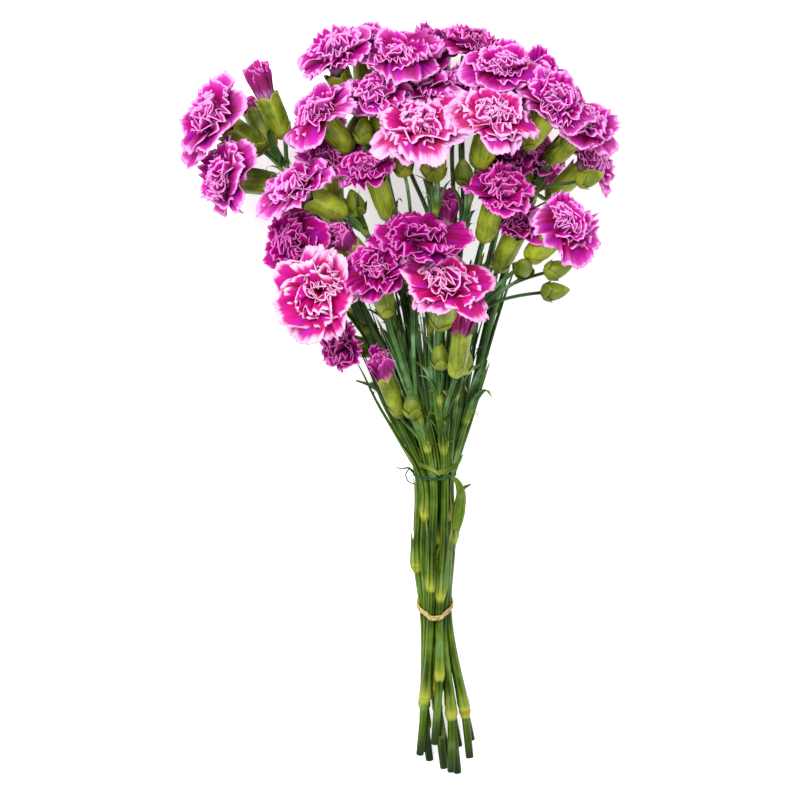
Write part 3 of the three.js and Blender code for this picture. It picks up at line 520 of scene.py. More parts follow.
sprays = [
    {
        "seat": (-1.5, -0.43), "cut": -231, "bow": (-10, 0, 0),
        "leaves": [leaf(6, (0.3, 0.2, 1), 18, 5)],
        "heads": [
            head((-118, 178, 66), (-0.8, 0.5, 0.25), 50, "full"),
            head((-112, 141, 72), (-0.93, 0.1, 0.3), 48, "full", 6),
            head((-87, 196, 62), (-0.4, 0.9, 0.1), 20, "half", 6),
            head((-95, 187, 46), (-0.4, 0.9, -0.1), 14, "tip", 6),
        ],
        "buds": [],
    },
    {
        "seat": (-1, 0.43), "cut": -225, "bow": (-9, 0, 0),
        "leaves": [leaf(2, (-1, -0.2, 0.5), 28, 5)],
        "heads": [
            head((-55, 66, 105), (-0.3, -0.1, 0.95), 56, "wide"),
            head((-67, 97, 86), (-0.93, 0.08, 0.35), 44, "full", 5),
            head((-35, 101, 80), (-0.62, 0.7, 0.35), 22, "half", 5),
            head((-60, 118, 9), (-0.6, 0.3, -0.75), 44, "full", 4),
        ],
        "buds": [],
    },
    {
        "seat": (-1, -1.3), "cut": -234, "bow": (-5, 0, 0),
        "leaves": [leaf(3, (-1, 0, -0.3), 26, 5)],
        "heads": [
            head((-66, 133, 100), (-0.85, 0.42, 0.3), 46, "wide"),
            head((-44, 152, 78), (-0.1, 0.9, 0.4), 34, "full", 6),
            head((-36, 35, 56), (-0.85, 0.1, 0.5), 36, "small", 2),
            head((8, 100, 8), (0, 0.5, -0.85), 44, "full", 4),
        ],
        "buds": [bud((-29, 124, 85), (-0.3, 0.9, 0.3), 6)],
    },
    {
        "seat": (0, -1.3), "cut": -222, "bow": (0, 0, 0),
        "leaves": [leaf(6, (-0.6, 0, 0.8), 18, 5)],
        "heads": [
            head((-44, 215, 76), (-0.4, 0.87, 0.3), 44, "full"),
            head((-51, 183, 92), (-0.6, 0.7, 0.4), 44, "full", 6),
            head((-25, 227, 52), (-0.05, 1, 0.05), 36, "full", 6),
            head((-50, 166, 10), (-0.4, 0.6, -0.7), 44, "full", 5),
        ],
        "buds": [bud((-30, 170, 80), (0, 0.95, 0.3), 5)],
    },
    {
        "seat": (-0.5, -0.43), "cut": -236, "bow": (6, 0, 0),
        "leaves": [leaf(5, (-0.5, 0, 1), 20, 5)],
        "heads": [
            head((-16, 194, 97), (0, 0.87, 0.5), 40, "full"),
            head((-18, 147, 95), (-0.3, 0.9, 0.3), 38, "full", 3),
            head((-2, 224, 78), (0.05, 0.95, 0.3), 44, "full", 6),
        ],
        "buds": [bud((-23, 170, 85), (0, 1, 0.1), 5), bud((1, 149, 100), (-0.2, 0.9, 0.3), 3)],
    },
    {
        "seat": (0, 0.43), "cut": -215, "bow": (-8, 0, 0),
        "leaves": [leaf(5, (0.2, 0, 1), 22, 5)],
        "heads": [
            head((15, 174, 108), (-0.2, 0.92, 0.36), 52, "wide"),
            head((25, 229, 42), (0, 1, -0.05), 38, "full", 3),
            head((13, 213, 60), (0, 0.95, 0.3), 26, "small", 5),
            head((14, 198, 78), (0, 0.9, 0.4), 32, "small", 6),
            head((-10, 208, 12), (-0.1, 0.8, -0.6), 42, "full", 5),
        ],
        "buds": [],
    },
    {
        "seat": (-0.5, 1.3), "cut": -227, "bow": (0, 0, 0),
        "leaves": [leaf(1, (-0.5, 0, 1), 30, 6)],
        "heads": [
            head((-14, 83, 108), (-0.18, 0.8, 0.57), 40, "full"),
            head((9, 103, 112), (0.02, 0.88, 0.47), 50, "wide", 2),
            head((-10, 18, 68), (-0.35, 0.9, 0.3), 22, "half", 1),
        ],
        "buds": [bud((6, -4, 64), (-0.1, 0.95, 0.2), 1)],
    },
    {
        "seat": (0.5, -0.43), "cut": -239, "bow": (0, 0, 0),
        "leaves": [leaf(5, (0.3, 0, 1), 22, 5)],
        "heads": [
            head((59, 180, 110), (0.28, 0.88, 0.38), 50, "wide"),
            head((47, 222, 62), (0.3, 0.93, 0.15), 36, "full", 4),
            head((64, 210, 90), (0.1, 0.9, 0.4), 40, "full", 6),
            head((39, 200, 64), (0, 0.9, 0.35), 30, "small", 5),
            head((42, 196, 10), (0.1, 0.7, -0.7), 42, "full", 5),
        ],
        "buds": [bud((40, 144, 100), (-0.1, 0.8, 0.5), 5)],
    },
    {
        "seat": (1, -1.3), "cut": -218, "bow": (5, 0, 0),
        "leaves": [leaf(3, (0.6, 0, -1), 24, 5)],
        "heads": [
            head((84, 203, 72), (0.3, 0.9, 0.3), 42, "full"),
            head((98, 187, 94), (0.5, 0.75, 0.4), 42, "full", 6),
            head((90, 178, 48), (0.4, 0.85, 0), 34, "small", 6),
            head((67, 152, 62), (0.1, 0.9, 0.3), 32, "small", 3),
            head((86, 150, 9), (0.5, 0.4, -0.75), 44, "full", 5),
        ],
        "buds": [],
    },
    {
        "seat": (1.5, -0.43), "cut": -229, "bow": (8, 0, 0),
        "leaves": [leaf(1, (0.5, 0, 1), 58, 8, 0.35), leaf(5, (1, 0, 0), 24, 5)],
        "heads": [
            head((115, 175, 74), (0.65, 0.68, 0.33), 43, "full"),
            head((119, 152, 48), (0.7, 0.65, 0.2), 38, "full", 6),
            head((86, 152, 54), (0.3, 0.9, 0.2), 30, "small", 5),
        ],
        "buds": [bud((119, 141, 66), (0.95, 0.25, 0.1), 6)],
    },
    {
        "seat": (1, 0.43), "cut": -238, "bow": (0, 0, 0),
        "leaves": [leaf(2, (0.9, 0, 0.6), 30, 6)],
        "heads": [
            head((62, 133, 100), (0.28, 0.9, 0.33), 42, "full"),
            head((77, 112, 82), (0.38, 0.83, 0.37), 40, "full", 4),
            head((104, 111, 90), (0.68, 0.65, 0.35), 46, "wide", 4),
        ],
        "buds": [
            bud((97, 69, 70), (0.97, 0.1, 0.1), 4),
            bud((97, 84, 80), (0.95, 0.25, 0.1), 4),
            bud((79, 84, 90), (0, 0.35, 0.94), 4),
        ],
    },
    {
        "seat": (0.5, 1.3), "cut": -220, "bow": (0, 0, 0),
        "leaves": [leaf(1, (0.3, 0, 1), 30, 6)],
        "heads": [
            head((29, 76, 118), (0.15, 0.72, 0.68), 54, "wide"),
            head((37, 46, 88), (0.15, 0.97, 0.15), 22, "half", 2),
            head((28, 116, 74), (0.05, 1, 0), 24, "half", 2),
        ],
        "buds": [bud((39, 24, 78), (0.1, 0.95, 0.2), 2), bud((28, 27, 84), (-0.1, 0.95, 0.2), 3)],
    },
]


def isBud(flower):
    return flower["form"] == "bud"


def isSlim(flower):
    return flower["form"] in ("tip", "half")


def bodyLength(flower):
    return budLength if isBud(flower) else calyxLength


def girth(flower):
    if isBud(flower) or isSlim(flower):
        return 1.0
    return float(np.clip(flower["width"] / usualWidth, *girthRange))


def bodyRadius(flower):
    return slimRoom if isSlim(flower) else calyxRoom * girth(flower)


def rise(flower):
    return budLength / 2 if isBud(flower) else -neckDrop * flower["width"]


def neckOf(flower):
    return flower["at"] + flower["faces"] * rise(flower)


def baseOf(flower):
    return neckOf(flower) - flower["faces"] * bodyLength(flower)


def coreTopOf(flower):
    return flower["at"] + flower["faces"] * coreRise * flower["width"]


# The closest points of the straight lines a to b and c to d, as shares along each
def closestShares(a, b, c, d):
    along, other, between = b - a, d - c, a - c
    aa = (along * along).sum(-1)
    bb = (other * other).sum(-1)
    ab = (along * other).sum(-1)
    fromA = (along * between).sum(-1)
    fromB = (other * between).sum(-1)
    spread = aa * bb - ab * ab
    apart = spread > tiny
    s = np.where(apart, (ab * fromB - fromA * bb) / np.where(apart, spread, 1), 0)
    s = np.clip(s, 0, 1)
    t = (ab * s + fromB) / bb
    s = np.where(t < 0, np.clip(-fromA / aa, 0, 1), s)
    s = np.where(t > 1, np.clip((ab - fromA) / aa, 0, 1), s)
    return s, np.clip(t, 0, 1)


# Heads and buds make room for each other, mostly up and down
settling = {"rounds": 80, "push": 0.25, "sideways": 0.4, "headRoom": 0.76, "petalRoom": 0.28}
flowers = [each for spray in sprays for each in spray["heads"] + spray["buds"]]


def settle():
    at = np.array([each["at"] for each in flowers])
    faces = np.array([each["faces"] for each in flowers])
    width = np.array([each["width"] for each in flowers], float)
    body = np.array([bodyRadius(each) for each in flowers])
    lift = np.array([rise(each) for each in flowers])[:, None]
    length = np.array([bodyLength(each) for each in flowers])[:, None]
    one, two = np.triu_indices(len(flowers), 1)
    easing = np.array([settling["sideways"], settling["sideways"], 1])
    for _ in range(settling["rounds"]):
        neck = at + faces * lift
        base = neck - faces * length
        shifts = np.zeros_like(at)

        def push(start, end, room):
            away = start - end
            distance = np.linalg.norm(away, axis=1)
            strength = settling["push"] * np.maximum(room - distance, 0) / distance
            move = away * strength[:, None] * easing
            np.add.at(shifts, one, move)
            np.add.at(shifts, two, -move)

        push(at[one], at[two], settling["headRoom"] * (width[one] + width[two]) / 2)
        s, t = closestShares(base[one], at[one], base[two], at[two])
        room = body[one] + body[two] + 2 * clearance
        push(mix(base[one], at[one], s[:, None]), mix(base[two], at[two], t[:, None]), room)
        _, t = closestShares(at[one], neck[one], base[two], neck[two])
        room = settling["petalRoom"] * width[one] + body[two]
        push(at[one], mix(base[two], neck[two], t[:, None]), room)
        _, t = closestShares(at[two], neck[two], base[one], neck[one])
        room = settling["petalRoom"] * width[two] + body[one]
        push(mix(base[one], neck[one], t[:, None]), at[two], room)
        at = at + shifts
        neck = at + faces * lift
        lowest = np.minimum(neck[:, 2], (neck - faces * length)[:, 2]) - body - clearance
        at[:, 2] -= np.minimum(lowest, 0)
    for each, place in zip(flowers, at):
        each["moved"] = place - each["at"]
        each["at"] = place


letters = "abcde"


def labelHeads():
    for index, spray in enumerate(sprays):
        for letter, flower in zip(letters, spray["heads"]):
            flower["label"] = f"{index + 1:02d}_{letter}"


# Limbs are chains of joints
joints = []
limbs = []


def joint(at, radius, held=False, knee=False):
    joints.append({"at": np.array(at, float), "radius": radius, "held": held, "knee": knee})
    return len(joints) - 1


def outlineOf(flower):
    if isBud(flower):
        return budOutline
    return slimOutline if isSlim(flower) else calyxOutline


def bodyJoints(flower):
    base = baseOf(flower)
    length = bodyLength(flower)
    return [
        joint(base + flower["faces"] * share * length, radius * girth(flower), True)
        for share, radius in outlineOf(flower)
    ]


def tied(values, y):
    return float(np.interp(y, bundle["y"], values)) if y <= bundle["y"][2] else values[2]


def bundlePoint(seat, y):
    across, up = (part * tied(bundle["spacing"], y) for part in seat)
    turn = math.radians(tied(bundle["turn"], y))
    x = across * math.cos(turn) + up * math.sin(turn)
    z = (up * math.cos(turn) - across * math.sin(turn)) * tied(bundle["flatness"], y)
    return np.array([tied(bundle["x"], y) + x, y, tied(bundle["z"], y) + z])


def bezier(start, startWay, end, endWay, steps, bow=(0, 0, 0)):
    sideways = np.array(bow, float)
    first = start + startWay / 3 + sideways
    second = end - endWay / 3 + sideways
    points = []
    for step in range(steps + 1):
        t = step / steps
        points.append(
            start * (1 - t) ** 3 + first * 3 * t * (1 - t) ** 2
            + second * 3 * t * t * (1 - t) + end * t ** 3
        )
    return points


# Knees stand this far above the cut end or the band, staggered from stem to stem
lowerKnee = {"above": 22, "stagger": 7, "pace": 5, "steps": 4}
upperKnee = {"above": 25, "stagger": 6, "pace": 7, "steps": 5}
upperKneePlace = 3  # in a stem's chain of joints
twinePlace = 4
# How strongly stems and side stalks keep their way where they start and end, as shares of their reach
pull = {"bundle": 0.5, "reach": 0.75, "arrive": 0.7, "fork": 0.7, "sideArrive": 0.8}
leafOutline = [0.6, 1, 0.85, 0.12]  # shares of a leaf's width, from its foot to its tip
leafRoom = 1.4
leafBend = {"shorten": 0.3, "out": 0.16, "curl": 0.4}


def kneeHeight(knee, start, index):
    return start + knee["above"] + knee["stagger"] * ((index * knee["pace"]) % knee["steps"])


def mainLimb(spray, index):
    bandY, twineY = bundle["y"][1:]
    heights = [
        (spray["cut"], False),
        (kneeHeight(lowerKnee, spray["cut"], index), True),
        (bandY, False),
        (kneeHeight(upperKnee, bandY, index), True),
        (twineY, False),
    ]
    chain = []
    for y, isKnee in heights:
        share = (y - spray["cut"]) / (twineY - spray["cut"])
        radius = mix(radii["cut"], radii["tie"], share) * (kneeSwell if isKnee else 1)
        chain.append(joint(bundlePoint(spray["seat"], y), radius, y == bandY, isKnee))
    flower = spray["heads"][0]
    start = bundlePoint(spray["seat"], twineY)
    end = baseOf(flower) - flower["faces"] * pedicelLead["head"]
    reach = end - start
    length = np.linalg.norm(reach)
    leave = unit(start - bundlePoint(spray["seat"], bandY)) * pull["bundle"] * length
    leave = leave + reach * pull["reach"]
    way = flower["faces"] * pull["arrive"] * length
    forks = [each["fork"] for each in spray["heads"][1:] + spray["buds"] + spray["leaves"]]
    points = bezier(start, leave, end, way, upperSteps, spray["bow"])
    for step, point in enumerate(points[1:], 1):
        isKnee = step in forks
        radius = mix(radii["tie"], radii["top"], step / upperSteps) * (kneeSwell if isKnee else 1)
        chain.append(joint(point, radius, step == upperSteps, isKnee))
    spray["forkAt"] = lambda fork: chain[twinePlace + fork]
    body = bodyJoints(flower)
    limbs.append({"spray": index, "flower": flower, "chain": chain + body, "stalk": len(chain), "root": 0})


def sideLimb(spray, index, flower):
    start = spray["forkAt"](flower["fork"])
    origin = joints[start]["at"]
    lead = pedicelLead["bud"] if isBud(flower) else pedicelLead["head"]
    end = baseOf(flower) - flower["faces"] * lead
    reach = np.linalg.norm(end - origin)
    leave = unit(origin - joints[start - 1]["at"]) * pull["fork"] * reach
    way = flower["faces"] * pull["sideArrive"] * reach
    steps = max(2, int(reach / sideStep + 0.5))
    radius = radii["bud"] if isBud(flower) else radii["side"]
    points = bezier(origin, leave, end, way, steps)[1:]
    chain = [joint(point, radius, step == steps) for step, point in enumerate(points, 1)]
    body = bodyJoints(flower)
    limbs.append({
        "spray": index, "flower": flower, "chain": [start] + chain + body,
        "stalk": len(chain) + 1, "root": radius,
    })


def leafLimb(spray, index, blade):
    start = spray["forkAt"](blade["fork"])
    origin = joints[start]["at"]
    along = unit(origin - joints[start - 1]["at"])
    chain = [start]
    for step in range(1, len(leafOutline)):
        share = step / (len(leafOutline) - 1)
        length = blade["length"] * share
        point = origin + along * length * (1 - leafBend["shorten"] * share)
        out = blade["spread"] * length * (leafBend["out"] + leafBend["curl"] * share)
        chain.append(joint(point + blade["out"] * out, leafRoom))
    limbs.append({"spray": index, "flower": None, "blade": blade, "chain": chain, "root": leafRoom})


def carriesHead(limb):
    return limb["flower"] is not None and not isBud(limb["flower"])


# Pieces are the straight lines of all limbs: two joints, the limb, the spray, and whether it is a head's core
relaxing = {"rounds": 160, "lastRounds": 40, "closeBy": 30, "calming": 0.2, "push": 0.5, "extra": 0.05}
pieces = []


def makePieces():
    for index, limb in enumerate(limbs):
        chain = limb["chain"]
        for first, second in zip(chain, chain[1:]):
            pieces.append((first, second, index, limb["spray"], False))
        if carriesHead(limb):
            radius = coreRadius["slim"] if isSlim(limb["flower"]) else coreRadius["wide"]
            low = joint(neckOf(limb["flower"]), radius, True)
            top = joint(coreTopOf(limb["flower"]), radius, True)
            pieces.append((low, top, index, limb["spray"], True))


# Stems bend clear of each other and of the heads, and stay above the surface
def relax():
    at = np.array([each["at"] for each in joints])
    home = at.copy()
    radius = np.array([each["radius"] for each in joints])
    held = np.array([each["held"] for each in joints])
    first, second, limbOf, sprayOf, isCore = np.array(pieces).T
    one, two = np.triu_indices(len(pieces), 1)
    together = (sprayOf[one] == sprayOf[two]) & (isCore[one] == 0) & (isCore[two] == 0)
    keep = ~together & (limbOf[one] != limbOf[two])
    allHeld = held[first] & held[second]
    keep &= ~(allHeld[one] & allHeld[two])
    one, two = one[keep], two[keep]

    def gaps():
        a, b, c, d = first[one], second[one], first[two], second[two]
        s, t = closestShares(at[a], at[b], at[c], at[d])
        away = mix(at[a], at[b], s[:, None]) - mix(at[c], at[d], t[:, None])
        room = mix(radius[a], radius[b], s) + mix(radius[c], radius[d], t) + clearance
        distance = np.linalg.norm(away, axis=1)
        return a, b, c, d, s, t, away, distance, room - distance

    near = gaps()[-1] > -relaxing["closeBy"]
    one, two = one[near], two[near]
    for count in range(relaxing["rounds"]):
        a, b, c, d, s, t, away, distance, short = gaps()
        strength = np.where(short > 0, relaxing["push"] * (short + relaxing["extra"]), 0)
        push = away * (strength / np.maximum(distance, tiny))[:, None]
        shifts = np.zeros_like(at)
        np.add.at(shifts, a, push * (1 - s)[:, None])
        np.add.at(shifts, b, push * s[:, None])
        np.add.at(shifts, c, push * (t - 1)[:, None])
        np.add.at(shifts, d, -push * t[:, None])
        at[~held] += shifts[~held]
        if count < relaxing["rounds"] - relaxing["lastRounds"]:
            for limb in limbs:
                calm(limb["chain"], at, home, held)
        low = ~held & (at[:, 2] < radius)
        at[low, 2] = radius[low]
    for each, place in zip(joints, at):
        each["at"] = place


def calm(chain, at, home, held):
    moved = at[chain] - home[chain]
    for i in range(1, len(chain) - 1):
        if not held[chain[i]]:
            mean = (moved[i - 1] + moved[i + 1]) / 2
            at[chain[i]] = home[chain[i]] + mix(moved[i], mean, relaxing["calming"])


# What a head's petals keep clear of: other heads, as soft flat limits, and stalks, calyxes and leaves
crowding = {"overlap": 0.16, "softness": 0.7, "gap": 0.4, "near": 0.75, "most": 7.0}
speck = 1e-3  # a line this short stands for a point


def neighboursOf(limb):
    flower = limb["flower"]
    normals, edges = [], []
    for other in limbs:
        if not carriesHead(other) or other is limb:
            continue
        rival = other["flower"]
        away = flower["at"] - rival["at"]
        distance = np.linalg.norm(away)
        if distance > flower["width"] + rival["width"]:
            continue
        share = (distance ** 2 + rival["width"] ** 2 / 4 - flower["width"] ** 2 / 4) / (2 * distance ** 2)
        normal = away / distance
        normals.append(normal)
        overlap = crowding["overlap"] * min(flower["width"], rival["width"])
        edges.append(normal @ (rival["at"] + away * share) - overlap)
    starts, ends, radiuses = [], [], []
    for first, second, index, _, isCore in pieces:
        if isCore or limbs[index] is limb:
            continue
        a, b = joints[first], joints[second]
        _, t = closestShares(flower["at"], flower["at"] + speck, a["at"], b["at"])
        if np.linalg.norm(mix(a["at"], b["at"], t) - flower["at"]) < crowding["near"] * flower["width"]:
            starts.append(a["at"])
            ends.append(b["at"])
            radiuses.append((a["radius"], b["radius"]))
    return {
        "normals": np.array(normals).reshape(-1, 3), "edges": np.array(edges),
        "starts": np.array(starts).reshape(-1, 3), "ends": np.array(ends).reshape(-1, 3),
        "radiuses": np.array(radiuses).reshape(-1, 2),
    }


def keepClear(points, near, margin):
    for normal, edge in zip(near["normals"], near["edges"]):
        past = np.maximum(edge + margin - points @ normal, 0) * crowding["softness"]
        past = crowding["most"] * np.tanh(past / crowding["most"])
        points = points + normal * past[:, None]
    if len(near["starts"]):
        along = near["ends"] - near["starts"]
        t = ((points[:, None] - near["starts"]) * along).sum(-1) / (along * along).sum(-1)
        t = np.clip(t, 0, 1)
        away = points[:, None] - near["starts"] - along * t[..., None]
        distance = np.maximum(np.linalg.norm(away, axis=-1), tiny)
        short = mix(near["radiuses"][:, 0], near["radiuses"][:, 1], t) + crowding["gap"] - distance
        worst = short.argmax(axis=1)
        row = np.arange(len(points))
        push = np.maximum(short[row, worst], 0) / distance[row, worst]
        points = points + away[row, worst] * push[:, None]
    return points


# A grid of quads shaped by a formula. place takes u from -1 to 1 and v from 0 to 1, and gives the points
# in millimetres, how ripe they are (a petal's pale share) and their mark (reach, or a petal's own number).
def surface(form, across, along, place, thickness=0):
    tintLayer = form.verts.layers.float["tint"]
    markLayer = form.verts.layers.float["mark"]
    made = bmesh.ops.create_grid(form, x_segments=across, y_segments=along, size=1, calc_uvs=True)
    verts = made["verts"]
    spots = np.array([vert.co for vert in verts])
    points, ripe, mark = place(spots[:, 0], (spots[:, 1] + 1) / 2)
    ripe = np.broadcast_to(ripe, len(verts))
    mark = np.broadcast_to(mark, len(verts))
    for vert, point, ripeness, marked in zip(verts, points * mm, ripe, mark):
        vert.co = point
        vert[tintLayer] = ripeness
        vert[markLayer] = marked
    if thickness:
        faces = list({face for vert in verts for face in vert.link_faces})
        bmesh.ops.solidify(form, geom=faces, thickness=thickness * mm)
    return verts


def newForm():
    form = bmesh.new()
    form.loops.layers.uv.new("UVMap")
    form.verts.layers.float.new("tint")
    form.verts.layers.float.new("mark")
    return form


def finishPiece(form, name, node, materials):
    for face in form.faces:
        face.smooth = True
    mesh = bpy.data.meshes.new(name)
    form.to_mesh(mesh)
    form.free()
    for material in materials:
        mesh.materials.append(material)
    piece = bpy.data.objects.new(name, mesh)
    bpy.context.scene.collection.objects.link(piece)
    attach(piece, "root")
    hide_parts(node)
    return piece


# Frames along a line of points: a side and an other, square to it, that turn as little as they can
def framesAlong(points):
    ways = unit(np.gradient(points, axis=0))
    side, _ = squareTo(ways[0])
    sides = []
    for way in ways:
        side = unit(side - way * (side @ way))
        sides.append(side)
    sides = np.array(sides)
    return sides, np.cross(ways, sides)


# A smooth line through points, sampled about every step millimetres
def smoothLine(points, step, lastSpan=None):
    points = np.array(points)
    lengths = np.linalg.norm(np.diff(points, axis=0), axis=1)
    marks = np.concatenate([[0], np.cumsum(lengths)])
    slopes = np.gradient(points, marks, axis=0)
    end = marks[lastSpan] if lastSpan is not None else marks[-1]
    wanted = np.linspace(0, end, max(3, int(end / step)))
    span = np.clip(np.searchsorted(marks, wanted, side="right") - 1, 0, len(lengths) - 1)
    t = ((wanted - marks[span]) / lengths[span])[:, None]
    scale = lengths[span][:, None]
    line = (
        points[span] * (1 + 2 * t) * (1 - t) ** 2 + slopes[span] * scale * t * (1 - t) ** 2
        + points[span + 1] * t * t * (3 - 2 * t) + slopes[span + 1] * scale * t * t * (t - 1)
    )
    return line, wanted, marks


weldDistance = 1e-6
pinRadius = 0.01  # at a tube's closed ends


def rowOf(v, rows):
    return np.rint(v * rows).astype(int)


# A round surface: shape takes the row and the angle. Its seam and its closed ends are welded.
def roundSurface(form, sides, rows, shape):
    def place(u, v):
        return shape(rowOf(v, rows), (u + 1) * math.pi)

    verts = surface(form, sides, rows, place)
    bmesh.ops.remove_doubles(form, verts=verts, dist=weldDistance)


# A closed tube with a radius for each point of its line
def tube(form, line, radius, ripe, reach, sides):
    side, other = framesAlong(line)

    def shape(row, angle):
        out = turned(side[row], other[row], angle)
        return line[row] + out * radius[row][:, None], ripe[row], reach[row]

    roundSurface(form, sides, len(line) - 1, shape)


stalks = {"step": 2.5, "sides": 10, "sideSides": 8, "cutEdge": 0.6, "cutBevel": 0.8, "cutRipe": 0.6}
# Knees swell just below their joint, a sheath thins out above it, and a brown ring marks it
kneeLooks = {
    "below": 3.4, "swellEnd": 1.4, "sheathStart": 1.0, "sheathLength": 26.0, "sheathPower": 1.6,
    "ringAt": -0.6, "ringLength": 2.3, "ringVariety": 0.45,
    "tied": {"swell": (0.36, 0.7), "ripe": 0.75, "ring": 0.95},
    "open": {"swell": (0.2, 0.4), "ripe": 0.45, "ring": 0.5},
}
kneeShifts = {1: 22, 2: -8, 5: 18, 6: -24, 8: 10, 10: 33, 11: -30}  # by stem, along the tied part


def kneeShift(limb, place):
    isShifted = place == upperKneePlace and not limb["root"]
    return kneeShifts.get(limb["spray"], 0) if isShifted else 0


def stalkPiece(form, limb, isMain, random):
    chain = [joints[each] for each in limb["chain"]]
    points = [each["at"] for each in chain]
    plain = [each["radius"] / (kneeSwell if each["knee"] else 1) for each in chain]
    plain[0] = limb["root"] or plain[0]
    stalk = limb["stalk"]
    plain[stalk] = plain[stalk - 1]
    line, reach, marks = smoothLine(points[:stalk + 2], stalks["step"], stalk)
    radius = np.interp(reach, marks[:stalk + 1], plain[:stalk + 1])
    ripe = np.zeros(len(line))
    for i in range(0 if isMain else 1, stalk):
        if not chain[i]["knee"]:
            continue
        look = kneeLooks["tied" if points[i][1] < bundle["y"][2] else "open"]
        past = reach - marks[i] - kneeShift(limb, i)
        sheath = np.clip(1 - (past - kneeLooks["sheathStart"]) / kneeLooks["sheathLength"], 0, 1)
        bulge = smooth(-kneeLooks["below"], kneeLooks["swellEnd"], past) * sheath ** kneeLooks["sheathPower"]
        radius = radius * (1 + random.uniform(*look["swell"]) * bulge)
        variety = 1 + kneeLooks["ringVariety"] * math.sin(points[i][1])
        ring = np.exp(-((past - kneeLooks["ringAt"]) / kneeLooks["ringLength"]) ** 2)
        ripe = np.maximum(ripe, bulge * look["ripe"]) + look["ring"] * variety * ring
    if isMain:
        start = line[0] + unit(line[1] - line[0]) * stalks["cutEdge"]
        line = np.concatenate([line[:1], line[:1], [start], line[1:]])
        radius = np.concatenate([[pinRadius, radius[0] * stalks["cutBevel"]], radius])
        ripe = np.concatenate([[stalks["cutRipe"], 0], ripe])
        reach = np.concatenate([[0, 0], reach])
    line = np.concatenate([line, line[-1:]])
    radius = np.concatenate([radius, [pinRadius]])
    ripe = np.concatenate([ripe, ripe[-1:]])
    reach = np.concatenate([reach, reach[-1:]])
    sides = stalks["sides"] if isMain else stalks["sideSides"]
    tube(form, nudged(line), radius, ripe, reach * mm, sides)


nudge = 0.02  # moves a point this far off its neighbour


# Keeps neighbouring points of a line from falling together, so that it has a direction at its ends
def nudged(line):
    line = line.copy()
    for i in range(1, len(line)):
        if np.linalg.norm(line[i] - line[i - 1]) < tiny:
            neighbour = line[min(i + 1, len(line) - 1)] - line[i]
            if np.linalg.norm(neighbour) < tiny:
                line[i] = line[i] + unit(line[i - 1] - line[i - 2]) * nudge
            else:
                line[i - 1] = line[i] - unit(neighbour) * nudge
    return line


# Bracts hug the foot of a calyx or a bud. A half-breadth is an angle, and heights are shares of the calyx.
bracts = {
    "across": 6, "along": 5, "thickness": 0.35, "half": 0.95, "taper": 2.2, "heights": (0, 0.1, 0.42, 1),
    "foot": 0.55, "spread": 2.2, "apart": 0.35, "tipOut": 0.6, "tipPower": 3,
    "ripe": 0.2, "upRipe": 0.3, "edgeRipe": 0.8, "tipRipe": 0.5, "edgeZone": (0.85, 1.0),
}


def bractPiece(form, base, frame, turn, wide, length, share):
    axis, side, other = frame

    def place(u, v):
        out = turned(side, other, turn + u * bracts["half"] * (1 - v ** bracts["taper"]))
        height = v * share * length
        around = np.interp(v * share, bracts["heights"], wide)
        around = around * np.clip(bracts["foot"] + v * bracts["spread"], 0, 1)
        around = around + bracts["apart"] + bracts["tipOut"] * v ** bracts["tipPower"]
        ripe = bracts["ripe"] + bracts["upRipe"] * v
        ripe = ripe + bracts["edgeRipe"] * smooth(*bracts["edgeZone"], np.abs(u))
        ripe = ripe + bracts["tipRipe"] * smooth(*bracts["edgeZone"], v)
        return base + axis * height[:, None] + out * around[:, None], ripe, height * mm

    surface(form, bracts["across"], bracts["along"], place, bracts["thickness"])


calyxes = {
    "around": 25, "teeth": 5, "toothLength": 3.4, "toothPower": 0.8, "toothSeat": 0.45,
    "wall": 0.7, "flare": 0.9, "foot": 0.9, "ribs": 0.035, "ribZone": (0.1, 0.8),
    "footZone": (0.0, 0.4), "marginZone": (0.75, 1), "marginRipe": 2.0, "marginFall": 1.2,
    "length": 1.42, "girth": 1.18, "stout": {"01_c": 1.6, "01_d": 1.5, "12_b": 1.3, "12_c": 1.3},
    "bractTurn": 0.4, "bracts": (0.3, 0.3, 0.38, 0.38),
}
# The rows of a calyx run up its outside, over the teeth and down inside
calyxRows = {
    "height": (0, 0, 0.05, 0.12, 0.25, 0.4, 0.55, 0.7, 0.83, 0.93, 1, 1, 0.97, 0.8, 0.6, 0.6),
    "tooth": (0, 0, 0, 0, 0, 0, 0, 0, 0.1, 0.45, 1, 1, 0.6, 0, 0, 0),
    "inside": (0, 0, 0, 0, 0, 0, 0, 0, 0, 0, 0, 1, 1, 1, 1, 1),
}


